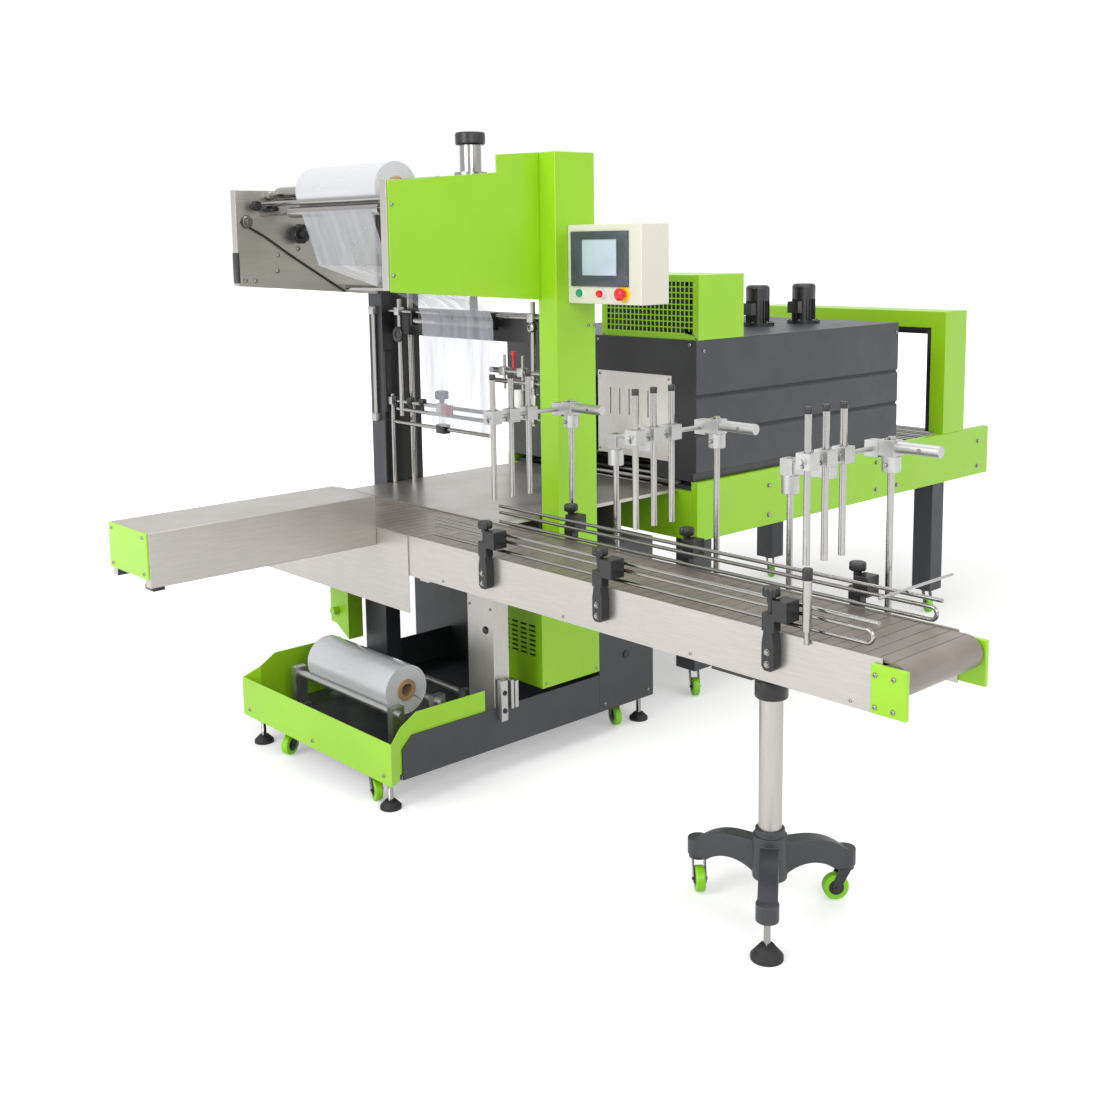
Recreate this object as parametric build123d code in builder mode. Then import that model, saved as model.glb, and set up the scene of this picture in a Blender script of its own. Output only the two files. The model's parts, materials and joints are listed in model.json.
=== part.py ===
from build123d import *
import math
import os

# A sleeve wrapping and shrinking machine for bottles. +X is the way the packs travel, from the pusher
# through the sealing portal and the tunnel. The infeed conveyor brings the bottles in along +Y.
# The origin is on the floor, under the middle of the whole machine. All sizes are in millimetres.

# Overall sizes
overall_length = 3810.0
overall_width = 2584.0
machine_width = 1010.0
fit_gap = 0.3
bearing_gap = 0.08

near_y = overall_width / 2 - machine_width
far_y = overall_width / 2
feed_y = -overall_width / 2
push_end_x = -overall_length / 2
exit_end_x = overall_length / 2

# Wheels of the casters, which set how high the bed, the stand and the tunnel legs are
wheel_radius = 32.5
wheel_width = 24.0
wheel_lift = 2.0
tunnel_wheel_lift = 0.0

# Lower bed and film tray
bed_above_wheels = 18.0
bed_clearance = wheel_lift + 2 * wheel_radius + bed_above_wheels
bed_height = 128.0
bed_front_x = -1300.0
bed_width = 800.0
bed_rail_thickness = 5.0
bed_floor_thickness = 4.0
bed_floor_rise = 15.0
bed_corner_cut = 36.0
bed_top = bed_clearance + bed_height
bed_far_y = near_y + bed_width
bed_floor_z = bed_clearance + bed_floor_rise
bed_inside_z = bed_floor_z + bed_floor_thickness

# Green tray surround
surround_front_x = -1354.0
surround_sheet = 3.0
surround_rise = 64.0
surround_slope_length = 110.0
surround_back_x = -985.0
surround_flare = 20.0
surround_top = bed_top + surround_rise

# Lower cabinet and portal base
cabinet_front_x = -505.0
cabinet_back_x = -250.0
deck_front_x = -947.0
deck_height = 640.0
deck_thickness = 60.0
deck_bottom = deck_height - deck_thickness
front_panel_width = 130.0
post_depth = 60.0
far_post_set_back = 70.0
cable_box_inset = 2.0
cable_box_near_y = bed_far_y - cable_box_inset
cable_box_width = 110.0
cable_box_bottom = 300.0
cable_box_tip = 255.0
cable_gland_inset = 64.0
cable_gland_y = cable_box_near_y + cable_gland_inset
cable_gland_z = 349.0
cable_gland_radius = 14.0
cable_gland_length = 25.0

# Lower fan box
fan_box_depth = 250.0
fan_box_width = 220.0
fan_box_bottom = 227.0
fan_slot_rows = 7
fan_slot_columns = 4
fan_slot_length = 30.0
fan_slot_height = 6.0

# Portal
portal_front_x = -675.0
column_depth = 166.0
column_width = 82.0
near_column_top = 1893.0
far_column_top = 1835.0
crosshead_height = 55.0
crosshead_top = 1842.0
portal_back_x = portal_front_x + column_depth
portal_middle_y = (near_y + far_y) / 2
portal_middle_x = portal_front_x + column_depth / 2

# Lift cylinder on the crosshead
cylinder_radius = 36.0
cylinder_bottom = 1490.0
cylinder_height = 101.0
cylinder_head = 8.0
cylinder_flange_radius = 56.0
cylinder_flange_thickness = 12.0
cylinder_cap_radius = 50.0
cylinder_cap_height = 42.0

# Film
film_width = 440.0
roll_radius = 77.0
core_radius = 33.0
core_overhang = 5.0
reel_shaft_radius = 24.0
film_thickness = 1.2
web_clearance = 0.5

# Upper unwinder
unwinder_front_x = -1245.0
unwinder_front_bottom = 1492.0
unwinder_front_top = 1802.0
unwinder_back_bottom = 1444.0
unwinder_back_top = 1829.0
unwinder_step_x = -845.0
unwinder_step_height = 52.0
unwinder_sheet = 4.0
unwinder_flange = 25.0
far_plate_inset = 69.0
far_plate_y = far_y - far_plate_inset
cover_inset = 71.0
cover_y = near_y + cover_inset
upper_roll_x = -1058.0
upper_roll_z = 1790.0
guide_roller_x = upper_roll_x - (roll_radius - 1)
guide_roller_z = upper_roll_z - (roll_radius - 13)
front_rod_x = upper_roll_x - (roll_radius + 2)
front_rod_z = upper_roll_z - (roll_radius - 44)
guide_roller_radius = 17.0
tension_rod_radius = 8.0
bottom_bar_x = -808.0
bottom_bar_z = 1447.0
bottom_bar_rise = 26.0
bottom_bar_radius = 9.0

# Lower unwinder in the tray
lower_roll_x = -1130.0
lower_roll_z = 265.0
lower_roll_inset = 210.0
lower_roll_near_y = near_y + lower_roll_inset
carry_roller_offset = 78.0
carry_roller_radius = 12.0
carry_roller_overhang = 34.0
carry_clamp_size = 44.0
carry_clamp_width = 26.0
carry_foot_size = 62.0
core_wall = 13.0
turn_roller_x = -943.0
turn_roller_z = 220.0
turn_roller_radius = 11.0
turn_roller_near_y = near_y + 150.0
turn_roller_far_y = bed_far_y - 72.0
turn_holder_size = 30.0

# Sealing unit inside the portal
guide_rod_radius = 11.0
guide_rod_inset = 55.0
jaw_height = 92.0
jaw_depth = 70.0
jaw_bottom = 1300.0
jaw_end_gap = 8.0
jaw_travel_up = 90.0
lift_rod_radius = 14.0
seal_table_top = 760.0
seal_table_thickness = 12.0
curtain_x = -690.0
curtain_bottom = 1000.0

# Control box
box_front_x = -625.0
box_width = 313.0
box_depth = 118.0
box_bottom = 1434.0
box_height = 238.0
bezel_width = 190.0
bezel_height = 165.0
bezel_thickness = 6.0
bezel_top_margin = 20.0
bezel_side_margin = 20.0
bezel_far_y = near_y - bezel_side_margin
button_insets = (34.0, 92.0, 152.0)
button_rise = 32.0
button_radius = 11.0
button_length = 18.0

# Pusher
pusher_width = 234.0
pusher_inset = 292.0
pusher_near_y = near_y + pusher_inset
pusher_bottom = 738.0
pusher_height = 128.0
pusher_end_thickness = 6.0
pusher_rail_height = 24.0
pusher_rail_width = 30.0

# Infeed conveyor
conveyor_x = -1013.0
conveyor_width = 296.0
conveyor_bottom = 645.0
conveyor_top = 767.0
conveyor_sheet = 4.0
conveyor_far_inset = 52.0
conveyor_far_y = far_y - conveyor_far_inset
conveyor_pad_length = 40.0
conveyor_pad_insets = (40.0, 158.0)
end_plate_length = 85.0
end_plate_height = 105.0
end_plate_thickness = 12.0
slat_length = 36.0
slat_gap = 2.4
slat_thickness = 5.0
sprocket_radius = 34.0
end_shaft_radius = 12.0
cross_tube_radius = 9.0
cross_tube_ys = (-1180.0, -600.0, 0.0, 500.0, 1000.0)
apron_bottom = 530.0
apron_inset = 133.0
apron_near_y = near_y + apron_inset
apron_sheet = 3.0

# Guide rails above the conveyor: a straight rail over a long loop on each side
rail_radius = 5.0
rail_inset = 26.0
rail_top = 831.0
loop_top = 812.0
loop_bottom = 783.0
rail_near_end = 93.0

# Brackets on the side sheets
bracket_ys = (-949.0, -412.0, 38.0)
bracket_width = 34.0
bracket_thickness = 26.0
bracket_bottom = 680.0
bracket_waist = 742.0
bracket_block_bottom = 770.0
bracket_clamp_offset = -36.0
knob_radius = 19.0
knob_neck_radius = 8.0
knob_height = 13.0

# Posts beside the conveyor, with the rods that carry the lane dividers
post_radius = 8.0
post_stand_off = 45.0
tall_post_ys = (-1013.0, -487.0, 66.0)
tall_post_top = 1170.0
low_post_ys = (-725.0, -116.0)
low_post_top = 1089.0
post_collar_radius = 22.0
post_collar_height = 37.0
post_collar_drop = 45.0
arm_radius = 14.0
arm_length = 110.0
arm_drop = 23.0
clamp_size = 38.0
divider_rod_offset = 43.0
divider_rod_drop = 31.0
divider_rod_radius = 6.0
divider_pitch = 66.0
divider_top = 1259.0
divider_bottom = 905.0
cap_post_y = -1040.0
cap_post_top = 922.0
cap_post_bottom = 787.0
cap_post_radius = 10.0
cap_post_pin = 30.0
entry_rod_y = -1108.0
entry_rod_radius = 3.5
entry_rod_length = 300.0

# Stand
stand_y = -825.0
stand_arm_reach = 208.0
stand_first_angle = -23.0
stand_arm_tip_height = 43.0
stand_arm_width = 46.0
stand_arm_rise = 28.0
stand_arm_top = 186.0
stand_hub_radius = 42.0
stand_hub_bottom = 95.0
stand_hub_top = 205.0
stand_post_radius = 28.5
stand_collar_radius = 43.0
stand_collar_height = 42.0
stand_plate_height = 8.0
stand_ring_radius = 36.0
stand_ring_height = 16.0
stand_above_wheels = 25.0
stand_tip_bottom = wheel_lift + 2 * wheel_radius + stand_above_wheels

# Levelling feet
foot_pad_radius = 31.5
stand_pad_radius = 38.0
foot_pad_height = 9.0
foot_cone_height = 16.0
foot_stud_radius = 8.0
stand_cone_height = 26.0
socket_depth = 20.0

# Casters
axle_radius = 4.0
fork_cheek = 3.0
fork_side_gap = 1.5
fork_trail = 22.0
fork_head_radius = 24.0
fork_head_height = 8.0
kingpin_radius = 6.0
caster_plate_size = 62.0
stand_caster_turns = (140.0, 230.0)
tunnel_caster_turn = 235.0

# Tunnel
tunnel_start_x = -25.0
cooling_gap = 340.0
exit_overhang = 205.0
exit_frame_depth = 165.0
exit_frame_post = 70.0
exit_frame_top = 1306.0
tunnel_inset = 6.0
tunnel_bottom = 788.0
tunnel_top = 1280.0
passage_width = 560.0
passage_top = 1130.0
base_recess = 14.0
base_recess_height = 32.0
groove_heights = (955.0, 1085.0)
groove_size = 12.0
beam_height = 208.0
entry_member_thickness = 20.0
entry_member_drop = 6.0
beam_thickness = 30.0
leg_size = 90.0
legs_above_wheels = 35.0
leg_bottom = tunnel_wheel_lift + 2 * wheel_radius + legs_above_wheels
leg_inset_x = 20.0
tunnel_fan_length = 239.0
tunnel_fan_width = 470.0
tunnel_fan_height = 222.0
tunnel_fan_wall = 3.0
tunnel_fan_border = 14.0
grille_pitch = 20.0
grille_bar = 4.0
motor_radius = 42.0
motor_body_height = 84.0
motor_cap_height = 62.0
motor_cap_radius = 47.0
motor_fin_count = 20
motor_fin_height = 5.0
motor_box = (52.0, 30.0, 46.0)
motor_flange_radius = 66.0
motor_flange_thickness = 14.0
motor_places = ((711.0, 619.0), (937.0, 566.0))
entry_panel_inset = 119.0
entry_panel_width = 365.0
entry_panel_bottom = 850.0
entry_panel_top = 1153.0
entry_panel_thickness = 4.0
entry_slit_count = 5
entry_slit_pitch = 47.0
entry_slit_margin = 112.0
entry_slit_width = 5.0
entry_slit_bottom = 997.0
entry_slit_top = 1092.0
belt_roller_radius = 19.0
belt_roller_pitch = 95.0
roller_strip = 3.0
roller_proud = 6.0

exit_frame_x1 = exit_end_x - exit_overhang
exit_frame_x0 = exit_frame_x1 - exit_frame_depth
tunnel_end_x = exit_frame_x0 - cooling_gap
tunnel_near_y = near_y + tunnel_inset
tunnel_far_y = far_y - tunnel_inset
beam_top = tunnel_bottom
beam_bottom = beam_top - beam_height

os.makedirs("parts", exist_ok=True)


def save(shape, name):
    shape.label = name
    export_step(shape, f"parts/{name}.step")


def block(x0, x1, y0, y1, z0, z1, mode=Mode.ADD):
    with Locations(((x0 + x1) / 2, (y0 + y1) / 2, (z0 + z1) / 2)):
        Box(x1 - x0, y1 - y0, z1 - z0, mode=mode)


def rod_x(x0, x1, y, z, radius, mode=Mode.ADD):
    with Locations(Location((x0, y, z), (0, 90, 0))):
        Cylinder(radius, x1 - x0, align=(Align.CENTER, Align.CENTER, Align.MIN), mode=mode)


def rod_y(x, y0, y1, z, radius, mode=Mode.ADD):
    with Locations(Location((x, y0, z), (-90, 0, 0))):
        Cylinder(radius, y1 - y0, align=(Align.CENTER, Align.CENTER, Align.MIN), mode=mode)


def rod_z(x, y, z0, z1, radius, mode=Mode.ADD):
    with Locations((x, y, z0)):
        Cylinder(radius, z1 - z0, align=(Align.CENTER, Align.CENTER, Align.MIN), mode=mode)


def side_profile(points, y, thickness, mode=Mode.ADD):
    """Plate whose outline is drawn on X and Z, from y to y + thickness."""
    with BuildSketch(Plane(origin=(0, y, 0), x_dir=(1, 0, 0), z_dir=(0, -1, 0))) as outline:
        with BuildLine():
            Polyline(*points, close=True)
        make_face()
    extrude(outline.sketch, amount=-thickness, mode=mode)


# Places that both halves of a joint share
base_feet = [(surround_front_x + 30, near_y + 32), (surround_front_x + 30, bed_far_y - 52),
             (cabinet_back_x - 40, near_y + 32), (cabinet_back_x - 40, bed_far_y - 52)]
base_casters = {"front_far": (-1300.0, near_y + 598, 200.0), "front_near": (-1316.0, near_y + 123, 250.0),
                "rear_near": (-380.0, near_y + 68, 250.0)}
hidden_base_caster = (-380.0, near_y + 598, 250.0)
stand_tips = [(conveyor_x + stand_arm_reach * math.cos(math.radians(stand_first_angle + 120 * i)),
               stand_y + stand_arm_reach * math.sin(math.radians(stand_first_angle + 120 * i)))
              for i in range(3)]


# Lower bed: an open tray of sheet steel, with plates under it for the casters and the feet
with BuildPart() as lower_bed:
    block(surround_front_x + surround_sheet + fit_gap, cabinet_front_x,
          near_y + bed_rail_thickness, bed_far_y - bed_rail_thickness, bed_floor_z, bed_inside_z)
    for rail_y in (near_y, bed_far_y - bed_rail_thickness):
        side_profile([(bed_front_x, bed_clearance), (cabinet_front_x, bed_clearance),
                      (cabinet_front_x, bed_top), (bed_front_x + bed_corner_cut, bed_top),
                      (bed_front_x, bed_top - bed_corner_cut)], rail_y, bed_rail_thickness)
    for x, y in base_feet[:2]:
        block(x - 25, x + 25, y - 25, y + 25, bed_clearance, bed_floor_z)
        rod_z(x, y, bed_clearance, bed_floor_z, foot_stud_radius + fit_gap, mode=Mode.SUBTRACT)
    for x, y, _ in (base_casters["front_far"], base_casters["front_near"]):
        half = caster_plate_size / 2
        block(x - half, x + half, y - half, y + half, bed_clearance, bed_floor_z)
        rod_z(x, y, bed_clearance, bed_floor_z, kingpin_radius + bearing_gap, mode=Mode.SUBTRACT)
save(lower_bed.part, "lower_bed")

# Tray surround: one bent sheet, its front corners drawn in and its rim sloping up to the side walls
with BuildPart() as tray_surround:
    wall_near = near_y + bed_rail_thickness + fit_gap
    wall_far = bed_far_y - bed_rail_thickness - fit_gap
    with BuildSketch(Plane.XY.offset(bed_clearance)) as outline:
        with BuildLine():
            Polyline((surround_back_x, wall_near), (bed_front_x, wall_near),
                     (surround_front_x, near_y - surround_flare),
                     (surround_front_x, bed_far_y + surround_flare),
                     (bed_front_x, wall_far), (surround_back_x, wall_far))
            offset(amount=surround_sheet, side=Side.RIGHT)
        make_face()
    extrude(outline.sketch, amount=surround_top - bed_clearance)
    side_profile([(surround_front_x - 10, bed_top), (surround_front_x + surround_sheet, bed_top),
                  (surround_front_x + surround_slope_length, surround_top),
                  (surround_front_x + surround_slope_length, surround_top + 10),
                  (surround_front_x - 10, surround_top + 10)],
                 near_y - 100, bed_width + 200, mode=Mode.SUBTRACT)
    block(bed_front_x - 10, surround_back_x + 10, near_y, bed_far_y,
          bed_clearance - 1, bed_inside_z + fit_gap, mode=Mode.SUBTRACT)
save(tray_surround.part, "tray_surround")

# Levelling feet: a rubber pad, a cone and a stud, turned as one
with BuildPart() as levelling_feet:
    pads = [(x, y, foot_pad_radius, foot_cone_height, bed_floor_z) for x, y in base_feet]
    pads.append((*stand_tips[2], stand_pad_radius, stand_cone_height, stand_tip_bottom + socket_depth))
    for x, y, pad_radius, cone_height, stud_top in pads:
        with BuildSketch(Plane(origin=(x, y, 0), x_dir=(1, 0, 0), z_dir=(0, -1, 0))) as half_foot:
            with BuildLine():
                Polyline((0, 0), (pad_radius, 0), (pad_radius, foot_pad_height),
                         (foot_stud_radius * 2, foot_pad_height + cone_height),
                         (foot_stud_radius, foot_pad_height + cone_height),
                         (foot_stud_radius, stud_top - fit_gap), (0, stud_top - fit_gap), close=True)
            make_face()
        revolve(half_foot.sketch, Axis((x, y, 0), (0, 0, 1)))
save(levelling_feet.part, "levelling_feet")

# Lower cabinet with the deck that carries the portal and the sealing table
with BuildPart() as lower_cabinet:
    block(cabinet_front_x, cabinet_back_x, near_y, far_y, bed_clearance, deck_bottom)
    block(deck_front_x, cabinet_back_x, near_y, far_y, deck_bottom, deck_height)
    for x, y in base_feet[2:]:
        rod_z(x, y, bed_clearance, bed_floor_z, foot_stud_radius + fit_gap, mode=Mode.SUBTRACT)
    for x, y, _ in (base_casters["rear_near"], hidden_base_caster):
        rod_z(x, y, bed_clearance, bed_floor_z, kingpin_radius + bearing_gap, mode=Mode.SUBTRACT)
save(lower_cabinet.part, "lower_cabinet")

# Lower fan box, with rows of slots in its front
fan_box_x0 = cabinet_front_x - fan_box_depth
fan_box_y1 = near_y + fan_box_width
with BuildPart() as lower_fan_box:
    block(fan_box_x0, cabinet_front_x, near_y, fan_box_y1, fan_box_bottom, deck_bottom)
    block(fan_box_x0 + surround_sheet, cabinet_front_x, near_y + surround_sheet,
          fan_box_y1 - surround_sheet, fan_box_bottom + surround_sheet, deck_bottom - surround_sheet,
          mode=Mode.SUBTRACT)
    slot_z = (fan_box_bottom + deck_bottom) / 2 - 20
    with Locations((fan_box_x0, (near_y + fan_box_y1) / 2, slot_z)):
        with GridLocations(0, fan_slot_length + 12, 1, fan_slot_columns):
            for row in range(fan_slot_rows):
                with Locations((0, 0, (row - fan_slot_rows / 2) * fan_slot_height * 2.6)):
                    Box(surround_sheet * 3, fan_slot_length, fan_slot_height, mode=Mode.SUBTRACT)
save(lower_fan_box.part, "lower_fan_box")

# Front panel and far post: they carry the deck ahead of the cabinet
with BuildPart() as front_panel:
    block(deck_front_x, deck_front_x + post_depth, near_y + bed_rail_thickness + fit_gap,
          near_y + front_panel_width, bed_inside_z, deck_bottom)
save(front_panel.part, "front_panel")

with BuildPart() as far_post:
    far_post_x = deck_front_x + far_post_set_back
    block(far_post_x, far_post_x + post_depth, bed_far_y - front_panel_width,
          bed_far_y - bed_rail_thickness - fit_gap, bed_inside_z, deck_bottom)
save(far_post.part, "far_post")

# Cable box hung from the deck beyond the bed, its gland facing the infeed side
with BuildPart() as cable_box:
    with BuildSketch(Plane(origin=(deck_front_x, 0, 0), x_dir=(0, 1, 0), z_dir=(1, 0, 0))) as outline:
        with BuildLine():
            Polyline((cable_box_near_y, deck_bottom), (cable_box_near_y + cable_box_width, deck_bottom),
                     (cable_box_near_y + cable_box_width, cable_box_bottom),
                     (cable_box_near_y + cable_box_width * 0.7, cable_box_bottom),
                     (cable_box_near_y, cable_box_tip), close=True)
        make_face()
    extrude(outline.sketch, amount=post_depth)
    rod_x(deck_front_x - cable_gland_length, deck_front_x, cable_gland_y, cable_gland_z,
          cable_gland_radius)
save(cable_box.part, "cable_box")

# Portal: two columns and a crosshead
with BuildPart() as near_column:
    block(portal_front_x, portal_back_x, near_y, near_y + column_width, deck_height, near_column_top)
save(near_column.part, "near_column")

with BuildPart() as far_column:
    block(portal_front_x, portal_back_x, far_y - column_width, far_y, deck_height, far_column_top)
save(far_column.part, "far_column")

lift_rod_y = portal_middle_y
with BuildPart() as crosshead:
    block(portal_front_x, portal_back_x, near_y + column_width, far_y - column_width,
          crosshead_top - crosshead_height, crosshead_top)
    rod_z(portal_middle_x, lift_rod_y, crosshead_top - crosshead_height, crosshead_top,
          cylinder_radius + fit_gap, mode=Mode.SUBTRACT)
    for y in (near_y + column_width + guide_rod_inset, far_y - column_width - guide_rod_inset):
        rod_z(portal_middle_x, y, crosshead_top - crosshead_height, crosshead_top - 15,
              guide_rod_radius + fit_gap, mode=Mode.SUBTRACT)
save(crosshead.part, "crosshead")

# Lift cylinder: a polished barrel through the crosshead, its flange on top, hollow for the rod
cylinder_bore_top = crosshead_top + cylinder_height - cylinder_head
with BuildPart() as lift_cylinder:
    rod_z(portal_middle_x, lift_rod_y, crosshead_top, crosshead_top + cylinder_flange_thickness,
          cylinder_flange_radius)
    rod_z(portal_middle_x, lift_rod_y, cylinder_bottom, crosshead_top + cylinder_height, cylinder_radius)
    rod_z(portal_middle_x, lift_rod_y, cylinder_bottom, cylinder_bore_top, lift_rod_radius + bearing_gap,
          mode=Mode.SUBTRACT)
save(lift_cylinder.part, "lift_cylinder")

with BuildPart() as lift_cylinder_cap:
    rod_z(portal_middle_x, lift_rod_y, crosshead_top + cylinder_height,
          crosshead_top + cylinder_height + cylinder_cap_height, cylinder_cap_radius)
    fillet(lift_cylinder_cap.edges().filter_by(GeomType.CIRCLE), cylinder_cap_height / 6)
save(lift_cylinder_cap.part, "lift_cylinder_cap")

# Unwinder side plates, with the front edge of each folded inwards
unwinder_outline = [(unwinder_front_x, unwinder_front_bottom), (unwinder_front_x, unwinder_front_top),
                    (portal_front_x - fit_gap, unwinder_front_top),
                    (portal_front_x - fit_gap, unwinder_back_bottom)]
near_plate_y = cover_y + unwinder_sheet
with BuildPart() as unwinder_plates:
    side_profile(unwinder_outline, far_plate_y, unwinder_sheet)
    side_profile(unwinder_outline, near_plate_y, unwinder_sheet)
    for y in (far_plate_y - unwinder_flange, near_plate_y + unwinder_sheet):
        block(unwinder_front_x, unwinder_front_x + unwinder_sheet, y, y + unwinder_flange,
              unwinder_front_bottom, unwinder_front_top)
    for x, z, radius in ((upper_roll_x, upper_roll_z, reel_shaft_radius),
                         (guide_roller_x, guide_roller_z, tension_rod_radius),
                         (front_rod_x, front_rod_z, tension_rod_radius)):
        rod_y(x, near_plate_y, near_plate_y + unwinder_sheet, z, radius + fit_gap, mode=Mode.SUBTRACT)
        rod_y(x, far_plate_y, far_plate_y + unwinder_sheet, z, radius + fit_gap, mode=Mode.SUBTRACT)
save(unwinder_plates.part, "unwinder_plates")

# Cover over the near side plate
cover_outline = [(unwinder_front_x + 5, unwinder_front_bottom - 4),
                 (unwinder_front_x + 5, unwinder_front_top - 4),
                 (unwinder_step_x, unwinder_back_top),
                 (unwinder_step_x, unwinder_back_top + unwinder_step_height),
                 (portal_front_x - fit_gap, near_column_top),
                 (portal_front_x - fit_gap, unwinder_back_bottom)]
with BuildPart() as unwinder_cover:
    side_profile(cover_outline, cover_y, unwinder_sheet)
save(unwinder_cover.part, "unwinder_cover")

# Reel shaft, guide roller and bottom bar of the unwinder
film_near_y = portal_middle_y - film_width / 2
film_far_y = portal_middle_y + film_width / 2
with BuildPart() as unwinder_rollers:
    rod_y(upper_roll_x, near_plate_y, far_plate_y + unwinder_sheet, upper_roll_z, reel_shaft_radius)
    rod_y(guide_roller_x, near_plate_y, far_plate_y + unwinder_sheet, guide_roller_z, tension_rod_radius)
    rod_y(guide_roller_x, film_near_y - 30, film_far_y + 30, guide_roller_z, guide_roller_radius)
    rod_y(front_rod_x, near_plate_y, far_plate_y + unwinder_sheet, front_rod_z, tension_rod_radius)
    rod_y(bottom_bar_x, near_plate_y + unwinder_sheet + fit_gap, far_plate_y - fit_gap,
          bottom_bar_z + bottom_bar_rise, bottom_bar_radius)
save(unwinder_rollers.part, "unwinder_rollers")


def film_roll(name, x, z, near, far, bore):
    """Roll of film on its card core, open through the middle."""
    with BuildPart() as roll:
        rod_y(x, near, far, z, roll_radius)
        rod_y(x, near - core_overhang, far + core_overhang, z, core_radius)
        rod_y(x, near - core_overhang, far + core_overhang, z, bore, mode=Mode.SUBTRACT)
    save(roll.part, name)


film_roll("upper_film_roll", upper_roll_x, upper_roll_z, film_near_y, film_far_y,
          reel_shaft_radius + bearing_gap)


# Film web from the upper roll, over the guide roller and the bottom bar, down into the curtain
with BuildPart() as film_web:
    roller_side = guide_roller_radius + web_clearance
    web_points = [(guide_roller_x - roller_side, guide_roller_z),
                  (guide_roller_x - roller_side, guide_roller_z - roller_side),
                  (guide_roller_x + 40, bottom_bar_z + 110),
                  (bottom_bar_x, bottom_bar_z + bottom_bar_rise - bottom_bar_radius - 2 * web_clearance),
                  (curtain_x - 30, bottom_bar_z - 20), (curtain_x, bottom_bar_z - 60),
                  (curtain_x, curtain_bottom)]
    with BuildSketch(Plane(origin=(0, film_near_y, 0), x_dir=(1, 0, 0), z_dir=(0, -1, 0))) as outline:
        with BuildLine():
            Polyline(*web_points)
            offset(amount=film_thickness, side=Side.RIGHT)
        make_face()
    extrude(outline.sketch, amount=-film_width)
save(film_web.part, "film_web")

# Lower film roll: it lies on two polished rollers, and its card core is open
lower_far_y = lower_roll_near_y + film_width
film_roll("lower_film_roll", lower_roll_x, lower_roll_z, lower_roll_near_y, lower_far_y,
          core_radius - core_wall)

with BuildPart() as lower_roll_cradle:
    carry_near = lower_roll_near_y - core_overhang - carry_roller_overhang
    carry_far = lower_far_y + core_overhang + carry_roller_overhang
    carry_reach = roll_radius + carry_roller_radius + fit_gap
    carry_z = lower_roll_z - math.sqrt(carry_reach ** 2 - carry_roller_offset ** 2)
    for x in (lower_roll_x - carry_roller_offset, lower_roll_x + carry_roller_offset):
        rod_y(x, carry_near - carry_clamp_width - 18, carry_far + carry_clamp_width + 6, carry_z,
              carry_roller_radius)
        for y in (carry_near - carry_clamp_width, carry_far):
            half = carry_clamp_size / 2
            block(x - half, x + half, y, y + carry_clamp_width, bed_inside_z, carry_z + half)
            block(x - carry_foot_size / 2, x + carry_foot_size / 2, y - 6, y + carry_clamp_width + 6,
                  bed_inside_z, bed_inside_z + 12)
    rod_y(turn_roller_x, turn_roller_near_y, turn_roller_far_y, turn_roller_z, turn_roller_radius)
    for y in (turn_roller_near_y - 8, turn_roller_far_y - turn_holder_size + 8):
        block(turn_roller_x - turn_holder_size / 2, turn_roller_x + turn_holder_size / 2,
              y, y + turn_holder_size, bed_inside_z, turn_roller_z + turn_holder_size / 2)
save(lower_roll_cradle.part, "lower_roll_cradle")

# Sealing unit: guide rods, a moving jaw on a rod from the cylinder, and the anvil on the table
rod_ys = (near_y + column_width + guide_rod_inset, far_y - column_width - guide_rod_inset)
with BuildPart() as seal_guide_rods:
    for y in rod_ys:
        rod_z(portal_middle_x, y, deck_height, crosshead_top - 15, guide_rod_radius)
save(seal_guide_rods.part, "seal_guide_rods")

with BuildPart() as seal_jaw:
    block(portal_middle_x - jaw_depth / 2, portal_middle_x + jaw_depth / 2,
          near_y + column_width + jaw_end_gap, far_y - column_width - jaw_end_gap,
          jaw_bottom, jaw_bottom + jaw_height)
    for y in rod_ys:
        rod_z(portal_middle_x, y, jaw_bottom, jaw_bottom + jaw_height, guide_rod_radius + fit_gap,
              mode=Mode.SUBTRACT)
    rod_z(portal_middle_x, lift_rod_y, jaw_bottom + jaw_height,
          cylinder_bore_top - jaw_travel_up - 2, lift_rod_radius)
save(seal_jaw.part, "seal_jaw")

with BuildPart() as seal_table:
    block(conveyor_x + conveyor_width / 2 + 3, tunnel_start_x, near_y + column_width + 6,
          far_y - column_width - 6, seal_table_top - seal_table_thickness, seal_table_top)
    for x in (portal_middle_x - 60, portal_middle_x + 60, cabinet_back_x - 60):
        block(x - 12, x + 12, near_y + column_width + 20, far_y - column_width - 20,
              deck_height, seal_table_top - seal_table_thickness)
    for y in rod_ys:
        rod_z(portal_middle_x, y, seal_table_top - seal_table_thickness, seal_table_top,
              guide_rod_radius + fit_gap, mode=Mode.SUBTRACT)
save(seal_table.part, "seal_table")

# Control box on the near column, its touch panel and its buttons facing the infeed side
box_y1 = near_y
box_y0 = box_y1 - box_width
with BuildPart() as control_box:
    block(box_front_x, box_front_x + box_depth, box_y0, box_y1, box_bottom, box_bottom + box_height)
save(control_box.part, "control_box")

with BuildPart() as control_panel:
    block(box_front_x - bezel_thickness, box_front_x, bezel_far_y - bezel_width, bezel_far_y,
          box_bottom + box_height - bezel_top_margin - bezel_height,
          box_bottom + box_height - bezel_top_margin)
    for y in [near_y - inset for inset in button_insets]:
        rod_x(box_front_x - button_length, box_front_x, y, box_bottom + button_rise, button_radius)
save(control_panel.part, "control_panel")

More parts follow.
